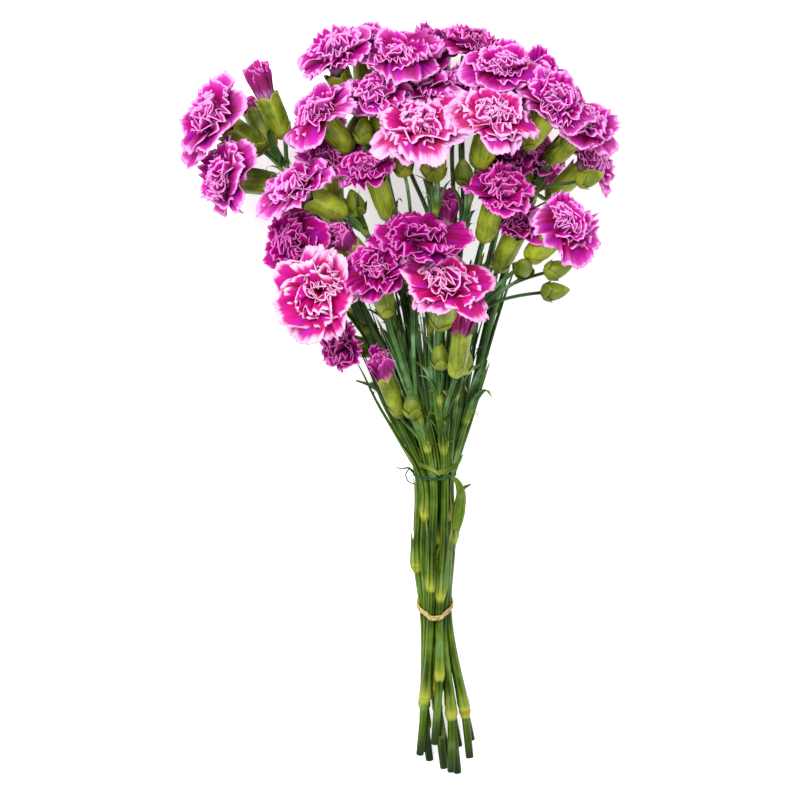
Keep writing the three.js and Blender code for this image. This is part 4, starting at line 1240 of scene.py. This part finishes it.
def calyxPiece(form, flower, random):
    axis = flower["faces"]
    length = bodyLength(flower) * calyxes["length"]
    base = neckOf(flower) - axis * length
    shares, outline = zip(*outlineOf(flower))
    wide = np.array(outline) * girth(flower) * calyxes["stout"].get(flower["label"], calyxes["girth"])
    side, other = squareTo(axis)
    turn = random.uniform(0, fullTurn)
    height, tooth, inside = (np.array(calyxRows[key], float) for key in ("height", "tooth", "inside"))
    radius = np.interp(height, shares, wide) - inside * calyxes["wall"]
    radius[[0, -1]] = pinRadius
    radius[1] = wide[0] * calyxes["foot"]

    def shape(row, angle):
        wave = np.abs(np.sin(calyxes["teeth"] * angle / 2)) ** calyxes["toothPower"]
        lift = height[row] * length + calyxes["toothLength"] * tooth[row] * (wave - calyxes["toothSeat"])
        swell = radius[row] + tooth[row] * calyxes["flare"] * wave
        ribs = calyxes["ribs"] * np.cos(calyxes["teeth"] * angle)
        swell = swell * (1 + ribs * smooth(*calyxes["ribZone"], height[row]))
        ripe = 1.0 - smooth(*calyxes["footZone"], height[row])
        margin = calyxes["marginRipe"] - calyxes["marginFall"] * wave
        ripe = np.maximum(ripe, smooth(*calyxes["marginZone"], tooth[row]) * margin)
        points = base + axis * lift[:, None] + turned(side, other, angle + turn) * swell[:, None]
        return points, ripe, height[row] * length * mm

    roundSurface(form, calyxes["around"], len(height) - 1, shape)
    for order, share in enumerate(calyxes["bracts"]):
        angle = turn + order * fullTurn / len(calyxes["bracts"]) + calyxes["bractTurn"]
        bractPiece(form, base, (axis, side, other), angle, wide, length, share)


buds = {
    "around": 15, "along": 14, "radius": 6.8, "length": 1.12, "wide": (2.2, 5.1, 7.0, 5.6),
    "lean": 0.9, "fullness": 0.62, "taper": 0.25,
    "grooves": 5, "grooveDepth": 0.1, "groovePower": 3, "grooveZone": (0.35, 0.95),
    "endRipe": 0.8, "footZone": (0.0, 0.3), "tipZone": (0.8, 1), "bracts": 4, "bractShare": 0.42,
}


def budPiece(form, flower, random):
    axis = flower["faces"]
    base = baseOf(flower)
    length = bodyLength(flower) * buds["length"]
    side, other = squareTo(axis)
    turn = random.uniform(0, fullTurn)
    height = 0.5 - 0.5 * np.cos(np.linspace(0, math.pi, buds["along"] + 1))
    radius = buds["radius"] * np.sin(math.pi * np.clip(height, 0, 1) ** buds["lean"]) ** buds["fullness"]
    radius = radius * (1 - buds["taper"] * height)
    radius[[0, -1]] = pinRadius

    def shape(row, angle):
        groove = np.abs(np.cos(buds["grooves"] * angle / 2)) ** buds["groovePower"]
        groove = 1 - buds["grooveDepth"] * smooth(*buds["grooveZone"], height[row]) * groove
        ends = 1 - smooth(*buds["footZone"], height[row]) + smooth(*buds["tipZone"], height[row])
        ripe = calyxFinish["budRipe"] + buds["endRipe"] * ends
        out = turned(side, other, angle + turn) * (radius[row] * groove)[:, None]
        return base + axis * (height[row] * length)[:, None] + out, ripe, height[row] * length * mm

    roundSurface(form, buds["around"], buds["along"], shape)
    for order in range(buds["bracts"]):
        angle = turn + order * fullTurn / buds["bracts"]
        bractPiece(form, base, (axis, side, other), angle, buds["wide"], calyxLength, buds["bractShare"])


# Blades: leaves as strips along a line. Their cup is deepest in the middle.
blades = {"step": 3.0, "thickness": 0.45, "cupMiddle": 0.3, "aboveFloor": 0.5}


# Half the width, the cup and the ripeness are given for each point of the line
def bladePiece(form, across, line, reach, out, width, cup, ripe):
    rows = len(line) - 1
    ways = unit(np.gradient(line, axis=0))
    side = unit(np.cross(ways, out))
    face = np.cross(side, ways)

    def place(u, v):
        row = rowOf(v, rows)
        points = line[row] + side[row] * (u * width[row])[:, None]
        points = points + face[row] * (cup[row] * (u * u - blades["cupMiddle"]))[:, None]
        points[:, 2] = np.maximum(points[:, 2], blades["aboveFloor"])
        return points, ripe[row], reach[row] * mm

    surface(form, across, rows, place, blades["thickness"])


leaves = {"across": 6, "channel": 0.22, "footRipe": 0.6, "footZone": (0.0, 0.25), "tipRipe": 0.25}


def leafPiece(form, limb):
    blade = limb["blade"]
    points = [joints[each]["at"] for each in limb["chain"]]
    line, reach, marks = smoothLine(points, blades["step"])
    width = np.interp(reach, marks, leafOutline) * blade["width"] / 2
    cup = np.full(len(line), leaves["channel"] * blade["width"])
    v = np.linspace(0, 1, len(line))
    ripe = leaves["footRipe"] * (1 - smooth(*leaves["footZone"], v)) + leaves["tipRipe"] * v
    bladePiece(form, leaves["across"], line, reach, blade["out"], width, cup, ripe)


# Loose leaves: sheath leaves and wisps stand off their knee, clasping and long ones run along the stem
looseBlades = {"across": 4, "cup": 0.6, "footZone": (0.0, 0.35)}
bladeEnds = {  # how a blade narrows to its tip, and where along it its foot is
    "sheath": {"tipPower": 3.6, "footZone": (-0.3, 0.25)},
    "clasp": {"tipPower": 2.4, "footZone": (-0.06, 0.17)},
    "tie": {"tipPower": 2, "footZone": (-0.4, 0.4)},
}
sheathLeaves = {
    "lengths": (22, 52), "widths": (3.8, 6.0), "spreads": (0.1, 0.4), "curls": (0.3, 1.5), "each": 2,
    "ripe": 0.7, "tipRipe": 0.8, "tipFrom": 0.6,
}
wisps = {
    "lengths": (8, 20), "widths": (1.5, 2.6), "spreads": (0.3, 0.9), "curls": (1.0, 3.0), "each": 4,
    "ripe": 0.85, "tipRipe": 0.85, "tipFrom": 0.0,
}
sheaths = {"tip": 0.25, "spans": 4, "sunk": 0.5, "curlPower": 3, "turns": (0, 2)}
claspLeaves = {
    "lengths": (26, 50), "width": 5.4, "tip": 0.25, "hug": 0.8, "lift": 0.6, "curl": 3.0, "bend": 4.0,
    "ripe": 0.85, "tipRipe": 0.8, "tipFrom": 0.6, "step": 3.0, "highest": math.inf,
}
longLeaves = {
    "lengths": (55, 105), "width": 4.2, "tip": 0.3, "hug": 1.0, "curls": (2.0, 14.0), "bend": 1.7,
    "ripe": 0.35, "tipRipe": 0.8, "tipFrom": 0.6, "step": 6.0, "highest": 92.0, "each": 2,
    "angles": (0.95, 2.05),  # in half turns: beside the stem and under it
}
fewestPoints = 4  # of a blade's line
# Loose leaves by the twine: points on the way from root to tip
tieLeaves = [
    {"width": 3.6, "tip": 0.0, "way": [(22, -46.5, 55), (29, -45, 56), (35.5, -41, 53), (39.5, -34.5, 51)]},
    {"width": 2.8, "tip": 0.8, "way": [(11, -41, 55), (16, -42.5, 58), (21, -45, 58.5), (25, -48.5, 56)]},
    {
        "width": 8.5, "tip": 0.3,
        "way": [(35, -83, 42), (37, -70, 45), (38, -58, 48), (35, -51, 50), (29, -48, 51)],
    },
    {"width": 2.4, "tip": 0.0, "way": [(37, -59, 47), (40, -56, 48), (45, -53.5, 47)]},
]
tieLeafRipe = 0.4
tieStem = 11


def halfWidth(kind, share, width, tip):
    ends = bladeEnds[kind]
    return width / 2 * (1 - share ** ends["tipPower"]) * smooth(*ends["footZone"], share) + tip


def looseBlade(form, line, reach, out, width, look):
    cup = looseBlades["cup"] * width * (1 - reach / reach[-1])
    v = np.linspace(0, 1, len(line))
    ripe = look["ripe"] * (1 - smooth(*looseBlades["footZone"], v))
    ripe = ripe + look["tipRipe"] * smooth(look["tipFrom"], 1, v)
    bladePiece(form, looseBlades["across"], line, reach, out, width, cup, ripe)


# A leaf that stands off its knee and curls away at its end
def sheathLeafPiece(form, limb, place, turn, look, random):
    knee = joints[limb["chain"][place]]
    along = unit(knee["at"] - joints[limb["chain"][place - 1]]["at"])
    side = unit(np.cross(along, np.array([0, 0, 1.0])))
    out = turned(side, np.cross(side, along), turn)
    length = random.uniform(*look["lengths"])
    spread = random.uniform(*look["spreads"])
    curl = random.uniform(*look["curls"])
    points = [knee["at"] + out * knee["radius"] * sheaths["sunk"]]
    for step in range(1, sheaths["spans"] + 1):
        share = step / sheaths["spans"]
        way = turned(along, out, spread * share + curl * share ** sheaths["curlPower"])
        points.append(points[-1] + way * length / sheaths["spans"])
    line, reach, _ = smoothLine(points, blades["step"])
    width = halfWidth("sheath", reach / reach[-1], random.uniform(*look["widths"]), sheaths["tip"])
    looseBlade(form, line, reach, out, width, look)


# A leaf that runs along its stem from the knee up
def claspLeafPiece(form, limb, place, way, curl, look, random):
    points = [joints[each]["at"] for each in limb["chain"]]
    line, reach, marks = smoothLine(points[:limb["stalk"]], look["step"])
    start = marks[place] + kneeShift(limb, place)
    end = start + random.uniform(*look["lengths"])
    chosen = (reach >= start - look["step"]) & (reach <= end) & (line[:, 1] < look["highest"])
    line, reach = line[chosen], reach[chosen]
    if len(line) < fewestPoints:
        return
    reach = reach - reach[0]
    share = reach / reach[-1]
    out = unit(np.array(way, float))
    radius = joints[limb["chain"][place]]["radius"] * look["hug"]
    line = line + out * (radius + curl * share ** look["bend"])[:, None]
    looseBlade(form, line, reach, out, halfWidth("clasp", share, look["width"], look["tip"]), look)


def tieLeafPiece(form, blade):
    line, reach, _ = smoothLine(blade["way"], blades["step"] / 2)
    width = halfWidth("tie", reach / reach[-1], blade["width"], sheaths["tip"])
    look = {"ripe": tieLeafRipe, "tipRipe": blade["tip"], "tipFrom": 0}
    looseBlade(form, line, reach, np.array([0, 0, 1.0]), width, look)


def looseLeaves(form, main, index, random):
    for place in range(upperKneePlace, main["stalk"] - 1):
        if not joints[main["chain"][place]]["knee"]:
            continue
        if place == upperKneePlace:
            for side in (-1, 1):
                way = (side, 0, claspLeaves["lift"])
                claspLeafPiece(form, main, place, way, claspLeaves["curl"], claspLeaves, random)
            continue
        for look in (sheathLeaves, wisps):
            for order in range(look["each"]):
                angle = order * fullTurn / look["each"] + random.uniform(*sheaths["turns"])
                sheathLeafPiece(form, main, place, angle, look, random)
    if index == tieStem:
        for blade in tieLeaves:
            tieLeafPiece(form, blade)
    for place in range(twinePlace, main["stalk"] - 2):
        for _ in range(longLeaves["each"]):
            angle = random.uniform(*longLeaves["angles"]) * math.pi
            curl = random.uniform(*longLeaves["curls"])
            way = (math.cos(angle), 0, math.sin(angle))
            claspLeafPiece(form, main, place, way, curl, longLeaves, random)


stemFinishes = []  # the stem's, then the calyx's
seeds = {"stem": 100, "bloom": 500, "band": 7, "twine": 8}  # random draws come out the same each time


def stemPiece(index):
    random = np.random.default_rng(seeds["stem"] + index)
    number = f"{index + 1:02d}"
    form = newForm()
    own = [limb for limb in limbs if limb["spray"] == index]
    grown = [limb for limb in own if "blade" not in limb]
    for limb in own:
        if "blade" in limb:
            leafPiece(form, limb)
        else:
            stalkPiece(form, limb, limb is own[0], random)
    looseLeaves(form, own[0], index, random)
    stemFaces = len(form.faces)
    for limb in grown:
        piece = budPiece if isBud(limb["flower"]) else calyxPiece
        piece(form, limb["flower"], random)
    for place, face in enumerate(form.faces):
        face.material_index = 0 if place < stemFaces else 1
    finishPiece(form, "spray" + number, "stem_" + number, stemFinishes)


# Bloom forms. Pairs are for the outer and the inner petals: how they lean in degrees, how far they reach
# as shares of the bloom's radius, how many waves their rim has, and how deep these are.
bloomForms = {
    "open": dict(petals=23, lean=(101, 8), reach=(1.3, 0.82), waves=(2.2, 3.9), ruffle=(0.062, 0.125)),
    "cup": dict(petals=20, lean=(66, 5), reach=(1.6, 1.15), waves=(3.0, 3.4), ruffle=(0.07, 0.13)),
    "wide": dict(petals=28, lean=(97, 6), reach=(1.28, 0.86), waves=(3.6, 4.0), ruffle=(0.066, 0.12)),
    "full": dict(petals=24, lean=(96, 5), reach=(1.34, 1.0), waves=(3.5, 3.9), ruffle=(0.068, 0.122)),
    "small": dict(petals=18, lean=(86, 5), reach=(1.5, 1.16), waves=(3.4, 3.5), ruffle=(0.08, 0.135)),
    "half": dict(petals=16, lean=(17, 3), reach=(1.7, 2.0), waves=(2.4, 2.8), ruffle=(0.1, 0.2)),
    "tip": dict(petals=9, lean=(10, 3), reach=(1.3, 1.4), waves=(1.6, 2.0), ruffle=(0.1, 0.2)),
    "under": dict(petals=15, lean=(84, 12), reach=(1.12, 0.95), waves=(1.8, 2.4), ruffle=(0.08, 0.16)),
}
petalFeet = {
    "usual": {"claw": 1.5, "sunk": 2.0, "seat": 4.0, "curl": (-0.3, 0.6)},
    "slim": {"claw": 4.4, "sunk": 4.5, "seat": 5.4, "curl": (-0.9, 0.0)},
}
petalShape = {
    "across": (36, 30), "underAcross": 14, "along": 5, "rowBias": 1.5, "thickness": 0.28,
    "innerSeat": 0.4, "breadth": (0.6, 0.46), "wrap": 0.3, "openZone": (0.06, 0.85), "openPower": 0.75,
    "round": 0.24, "roundPower": 2.6, "jagPower": 6, "leanPower": 0.9,
    "bends": 32, "bend": 1.1, "bendZone": (0.04, 0.66), "curlZone": (0.72, 1.1), "innerCurl": 0.5,
    "innerGrowth": 0.4, "growthWaves": 0.8, "growthBreadth": 0.6, "rimPace": 1.6,
    "shiftBack": 0.8, "shiftEarly": 1.6, "flop": 0.14, "flopTurns": 1.4, "innerFlop": 0.5,
    "top": 144.0, "topSoftness": 4.0,
}
ruffles = {
    "power": 1.3, "second": 0.35, "secondTurns": 1.6, "secondSlant": 1.5, "fold": 0.3,
    "uneven": 0.3, "unevenTurns": 2.3, "sway": 0.5, "swayTurns": 3.1,
}
# How much petals of one bloom differ
petalVariety = {
    "twist": 1.1, "lean": 8.5, "reach": (0.74, 1.1), "waves": (0.85, 1.15), "ruffle": (0.8, 1.25),
    "jag": 0.05, "breadth": (0.85, 1.15), "margin": (-1.5, 1.5), "rim": (0.75, 1.25),
}
# Blooms higher than this turn up, though no steeper than this many degrees; lower ones lie underneath
nodding = {"above": 30.0, "steepest": 52.0}

# Each bloom: its look, how far its petals turn up from the calyx's way, and how much they outgrow it
bloomNotes = {
    "01_a": ("light", 8, 1.1), "01_b": ("light", 8, 1.1), "01_c": ("deep", 0, 1.2),
    "01_d": ("deep", 0, 1.0), "02_a": ("white", 0, 0.98), "02_b": ("deep", 30, 1.0),
    "02_c": ("rich", 12, 1.0), "02_d": ("rich", 0, 1.0), "03_a": ("light", 6, 1.06),
    "03_b": ("rich", 12, 1.1), "03_c": ("rich", 10, 0.94), "03_d": ("rich", 0, 1.0),
    "04_a": ("light", 6, 1.14), "04_b": ("light", 4, 1.06), "04_c": ("light", 2, 1.16),
    "04_d": ("rich", 0, 1.0), "05_a": ("light", 8, 0.92), "05_b": ("rich", 6, 0.96),
    "05_c": ("light", 10, 1.48), "06_a": ("blush", 18, 1.4), "06_b": ("deep", 0, 1.4),
    "06_c": ("rich", 6, 1.2), "06_d": ("light", 10, 1.16), "06_e": ("rich", 0, 1.0),
    "07_a": ("rich", 18, 1.0), "07_b": ("deep", 0, 1.36), "07_c": ("deep", 0, 1.1),
    "08_a": ("blush", 18, 1.14), "08_b": ("rich", 4, 1.26), "08_c": ("light", 14, 1.1),
    "08_d": ("light", 12, 1.2), "08_e": ("rich", 0, 1.0), "09_a": ("light", 10, 1.25),
    "09_b": ("light", 16, 1.12), "09_c": ("rich", 10, 1.2), "09_d": ("deep", 8, 1.16),
    "09_e": ("rich", 0, 1.0), "10_a": ("light", 12, 1.1), "10_b": ("light", 0, 0.92),
    "10_c": ("rich", 8, 1.14), "11_a": ("rich", 16, 0.98), "11_b": ("rich", 10, 0.85),
    "11_c": ("light", 18, 1.0), "12_a": ("pale", 0, 1.04), "12_b": ("rich", 0, 1.0),
    "12_c": ("deep", 0, 1.0),
}
# How far the petals of some blooms lean across and along the picture, in millimetres
petalNudges = {
    "01_a": (0, -1), "01_b": (3, -1), "01_c": (-1, 3), "02_a": (4, 5), "02_b": (-2, 4), "03_a": (-3, -3),
    "04_a": (4, 4), "04_b": (2, -4), "05_b": (-5, -3), "05_c": (0, -13), "06_a": (-3, -3),
    "06_b": (2, -14), "07_b": (2, -9), "08_a": (0, -2), "10_b": (1, 0), "11_a": (2, -1),
    "11_b": (-2, 0), "12_a": (-2, -1),
}
# How much further the outer petals of some blooms hang, in millimetres
petalFans = {"02_a": (-1, -5), "06_a": (0, -2), "08_a": (1, 0), "12_a": (1, -4)}
# How far some blooms turn on their calyx, in degrees as the picture shows them
petalTurns = {"03_a": -30}
# Blooms whose petals have another form than their solid
petalForms = {"02_a": "open", "05_c": "wide", "06_b": "cup", "07_b": "wide", "12_a": "open"}
goldenAngle = math.pi * (3 - math.sqrt(5))


def liesUnder(flower):
    return flower["at"][2] < nodding["above"]


def petalAxis(flower, nod):
    faces = flower["faces"]
    lift = math.asin(faces[2])
    wanted = min(lift + math.radians(nod), math.radians(nodding["steepest"]))
    if liesUnder(flower) or wanted < lift:
        return faces
    heading = math.atan2(faces[1], faces[0]) + math.radians(petalTurns.get(flower["label"], 0))
    level = math.cos(wanted)
    return np.array([level * math.cos(heading), level * math.sin(heading), math.sin(wanted)])


def petalColumns(form, share):
    if form is bloomForms["under"]:
        return petalShape["underAcross"]
    return petalShape["across"][0 if share < 0.5 else 1]


# Petals that would stand above the solids' highest bloom spread out instead, and the lowest lie on the floor
def settledHeights(heights):
    spare = (petalShape["top"] - heights) / petalShape["topSoftness"]
    heights = petalShape["top"] - petalShape["topSoftness"] * np.log1p(np.exp(spare))
    return np.maximum(heights, petalShape["thickness"])


# How far a petal has got for each bend of its line, from 0, as a share of its length
def travelled(pace):
    return np.concatenate([[0], np.cumsum((pace[1:] + pace[:-1]) / 2)]) / petalShape["bends"]


# share runs from 0 for the outermost petal of a bloom to 1 for the innermost
def petalPlacing(flower, note, near, form, share, angle, random):
    look, nod, grow = note
    axis = petalAxis(flower, nod)
    size = flower["width"] / 2
    growth = mix(grow, 1 + (grow - 1) * petalShape["innerGrowth"], share)
    foot = petalFeet["slim" if isSlim(flower) else "usual"]
    neck = neckOf(flower) - axis * foot["sunk"]
    out = turned(*squareTo(axis), angle)
    across = np.cross(out, axis)
    twist = random.uniform(-1, 1) * petalVariety["twist"] * share
    outTurned = turned(out, across, twist)
    acrossTurned = turned(across, -out, twist)
    spread = random.uniform(-petalVariety["lean"], petalVariety["lean"])
    lean = math.radians(mix(*form["lean"], share ** petalShape["leanPower"]) + spread)
    reach = size * growth * mix(*form["reach"], share) * random.uniform(*petalVariety["reach"])
    seat = mix(foot["seat"], petalShape["innerSeat"], share)
    shift = -flower["moved"] * petalShape["shiftBack"]
    shift[:2] += petalNudges.get(flower["label"], (0, 0))
    shift[:2] += np.array(petalFans.get(flower["label"], (0, 0))) * (1 - share)
    shift[2] = 0
    steps = np.linspace(0, 1, petalShape["bends"] + 1)
    curl = random.uniform(*foot["curl"]) * (1 - petalShape["innerCurl"] * share)
    bends = lean * petalShape["bend"] * smooth(*petalShape["bendZone"], steps)
    bends = bends + curl * smooth(*petalShape["curlZone"], steps)
    ahead = travelled(np.sin(bends))
    above = travelled(np.cos(bends))
    stretch = (reach + foot["sunk"]) / math.hypot(ahead[-1] + seat / reach, above[-1])
    waves = mix(*form["waves"], share) * random.uniform(*petalVariety["waves"])
    waves = waves * max(growth, 1) ** petalShape["growthWaves"]
    ruffle = mix(*form["ruffle"], share) * random.uniform(*petalVariety["ruffle"]) * size
    phases = random.uniform(0, fullTurn, 6)
    firstPhase, secondPhase, foldPhase, flopPhase, unevenPhase, swayPhase = phases
    columns = petalColumns(form, share)
    jags = random.uniform(0, petalVariety["jag"], columns + 1)
    breadth = mix(*petalShape["breadth"], share) * random.uniform(*petalVariety["breadth"])
    breadth = breadth * size * growth ** petalShape["growthBreadth"]
    margin = random.uniform(*petalVariety["margin"])
    mark = random.uniform(0, 1)
    rimShare = mix(*petalLooks[look]["rims"], min(1, share * petalShape["rimPace"]))
    rimShare = rimShare * random.uniform(*petalVariety["rim"])

    def place(u, v):
        column = np.rint((u + 1) / 2 * columns).astype(int)
        v = 1 - (1 - v) ** petalShape["rowBias"]
        along = v * (1 - petalShape["round"] * np.abs(u) ** petalShape["roundPower"])
        along = along - jags[column] * v ** petalShape["jagPower"]
        radial = seat + np.interp(along, steps, ahead) * stretch
        height = np.interp(along, steps, above) * stretch
        bend = np.interp(along, steps, bends)
        half = mix(foot["claw"], breadth, smooth(*petalShape["openZone"], v) ** petalShape["openPower"])
        curve = radial + size * petalShape["wrap"]
        way = turned(outTurned, acrossTurned, u * half / curve)
        points = neck + axis * height[:, None] + out * radial[:, None]
        points = points + (way - outTurned) * curve[:, None]
        face = turned(-way, axis, bend)
        forward = turned(axis, way, bend)
        uneven = u + ruffles["uneven"] * np.sin(ruffles["unevenTurns"] * u + unevenPhase)
        turns = waves * math.pi * uneven
        second = np.sin(ruffles["secondTurns"] * turns + secondPhase + ruffles["secondSlant"] * v)
        swing = np.sin(turns + firstPhase) + ruffles["second"] * second
        sway = 1 + ruffles["sway"] * np.sin(ruffles["swayTurns"] * u + swayPhase)
        strength = ruffle * v ** ruffles["power"] * sway
        flop = petalShape["flop"] * size * v ** 2 * np.sin(petalShape["flopTurns"] * u + flopPhase)
        flop = flop * (1 - petalShape["innerFlop"] * share)
        points = points + face * (strength * swing + flop)[:, None]
        fold = ruffles["fold"] * strength * np.sin(turns + foldPhase)
        points = points + forward * (fold * v)[:, None]
        points = points + shift * (v * mix(petalShape["shiftEarly"], 1, v))[:, None]
        points = keepClear(points, near, margin)
        points[:, 2] = settledHeights(points[:, 2])
        return points, rimShare, mark

    return place


petalFinishes = {}


def bloomPiece(limb, number):
    flower = limb["flower"]
    label = flower["label"]
    form = bloomForms["under" if liesUnder(flower) else petalForms.get(label, flower["form"])]
    random = np.random.default_rng(seeds["bloom"] + number)
    near = neighboursOf(limb)
    note = bloomNotes[label]
    mesh = newForm()
    for index in range(form["petals"]):
        share = index / (form["petals"] - 1)
        angle = (number + index) * goldenAngle
        place = petalPlacing(flower, note, near, form, share, angle, random)
        surface(mesh, petalColumns(form, share), petalShape["along"], place)
    piece = finishPiece(mesh, "bloom" + label, "bloom_" + label, petalFinishes[note[0]])
    shell = piece.modifiers.new("thickness", "SOLIDIFY")
    shell.thickness = petalShape["thickness"] * mm
    shell.offset = 0
    shell.use_rim = True
    shell.material_offset = 1


# Ties: loops drawn tight round the stems
ties = {"steps": 48, "sides": 8, "lobes": 3, "tremble": 0.12, "grainDetail": 3.0, "grainZone": (0.3, 0.7)}
bandLook = {
    "y": bundle["y"][1] + 3, "strands": 3, "thick": 1.1, "pitch": 0.92, "droop": 9.6, "apart": 0.12,
    "smoothing": 6, "dark": tone(132, 108, 54), "pale": tone(202, 178, 116), "grain": 420.0,
    "roughness": 0.6, "relief": 0.0002,
}
twineLook = {
    "y": bundle["y"][2] + 2, "strands": 2, "thick": 0.8, "pitch": 1.0, "droop": 3.5, "apart": 0.7,
    "smoothing": 3, "dark": tone(0, 34, 20), "pale": tone(0, 84, 50), "grain": 900.0,
    "roughness": 0.7, "relief": 0.0003,
}
twineTails = [
    {"way": [(0, 0, 0.5), (-3, 3.5, 2), (-8, 3, 3), (-12, 4.5, 3)], "thick": (0.8, 0.3)},
    {"way": [(0, 1, 0.5), (-2.5, 3, 3), (-5, 0, 3), (-3.5, -5, 3), (1.5, -7, 3)], "thick": (0.5, 0.38)},
]
tailStep = 1.0
tailSides = 6


def crossingsAt(y):
    found = []
    for limb in limbs:
        if limb["root"] or limb["flower"] is None:
            continue
        points = [joints[each] for each in limb["chain"]]
        for a, b in zip(points, points[1:]):
            if a["at"][1] > y or b["at"][1] <= y:
                continue
            share = (y - a["at"][1]) / (b["at"][1] - a["at"][1])
            found.append((mix(a["at"], b["at"], share), mix(a["radius"], b["radius"], share)))
    return found


def loopRound(look, offset, random):
    crossings = crossingsAt(look["y"])
    points = []
    for angle in np.linspace(0, fullTurn, ties["steps"], endpoint=False):
        out = np.array([math.cos(angle), 0, math.sin(angle)])
        at, radius = max(crossings, key=lambda each: each[0] @ out + each[1])
        point = at + out * (radius + look["thick"] / 2)
        lobes = 1 + look["apart"] * math.cos(ties["lobes"] * angle)
        point[1] = look["y"] + offset * lobes - look["droop"] * math.sin(angle)
        points.append(point)
    points = np.array(points)
    for _ in range(look["smoothing"]):
        points = (np.roll(points, 1, axis=0) + 2 * points + np.roll(points, -1, axis=0)) / 4
    return points + random.normal(0, ties["tremble"], points.shape)


def ringTube(form, points, radius):
    closed = np.concatenate([points, points[:1]])
    ways = unit(np.roll(points, -1, axis=0) - np.roll(points, 1, axis=0))
    ways = np.concatenate([ways, ways[:1]])
    side = unit(np.cross(ways, np.array([0, 1.0, 0])))
    other = np.cross(ways, side)

    def shape(row, angle):
        return closed[row] + turned(side[row], other[row], angle) * radius, 0.0, 0.0

    roundSurface(form, ties["sides"], len(points), shape)


# The strands of a tie side by side. Returns the points of the last one.
def strandPieces(form, look, random):
    for strand in range(look["strands"]):
        offset = (strand - (look["strands"] - 1) / 2) * look["thick"] * look["pitch"]
        loop = loopRound(look, offset, random)
        ringTube(form, loop, look["thick"] / 2)
    return loop


def makeTieFinish(name, look):
    paint = Finish(name)
    grain = paint.noise(paint.where(), look["grain"], ties["grainDetail"])
    colour = paint.blend(paint.step(grain, *ties["grainZone"]), look["dark"], look["pale"])
    paint.set(colour=colour, roughness=look["roughness"], normal=paint.bump(grain, look["relief"]))
    return paint.material


def bandPiece():
    form = newForm()
    strandPieces(form, bandLook, np.random.default_rng(seeds["band"]))
    finishPiece(form, "rubberBand", "rubber_band", [makeTieFinish("tanRubber", bandLook)])


def twinePiece():
    form = newForm()
    loop = strandPieces(form, twineLook, np.random.default_rng(seeds["twine"]))
    knot = loop[len(loop) // 2]
    for tail in twineTails:
        line, reach, _ = smoothLine([knot + np.array(way) for way in tail["way"]], tailStep)
        radius = mix(*tail["thick"], np.linspace(0, 1, len(line)))
        radius[[0, -1]] = pinRadius
        tube(form, line, radius, np.zeros(len(line)), reach * mm, tailSides)
    finishPiece(form, "greenTwine", "twine", [makeTieFinish("greenTwine", twineLook)])


print("stage: camera, lights, sky and floor")
makeStage()
print("settling the heads and bending the stems")
settle()
labelHeads()
for index, spray in enumerate(sprays):
    mainLimb(spray, index)
    for flower in spray["heads"][1:] + spray["buds"]:
        sideLimb(spray, index, flower)
    for blade in spray["leaves"]:
        leafLimb(spray, index, blade)
makePieces()
relax()
print("finishes")
for name, look in petalLooks.items():
    faces = ((name + "Petal", False), (name + "Back", True))
    petalFinishes[name] = [makePetalFinish(title, look, isBack) for title, isBack in faces]
stemFinishes += [makeStemFinish(), makeCalyxFinish()]
print("stems, calyxes, buds and leaves")
for index in range(len(sprays)):
    stemPiece(index)
print("blooms")
for number, limb in enumerate(filter(carriesHead, limbs)):
    bloomPiece(limb, number)
print("ties")
bandPiece()
twinePiece()
bpy.context.view_layer.update()
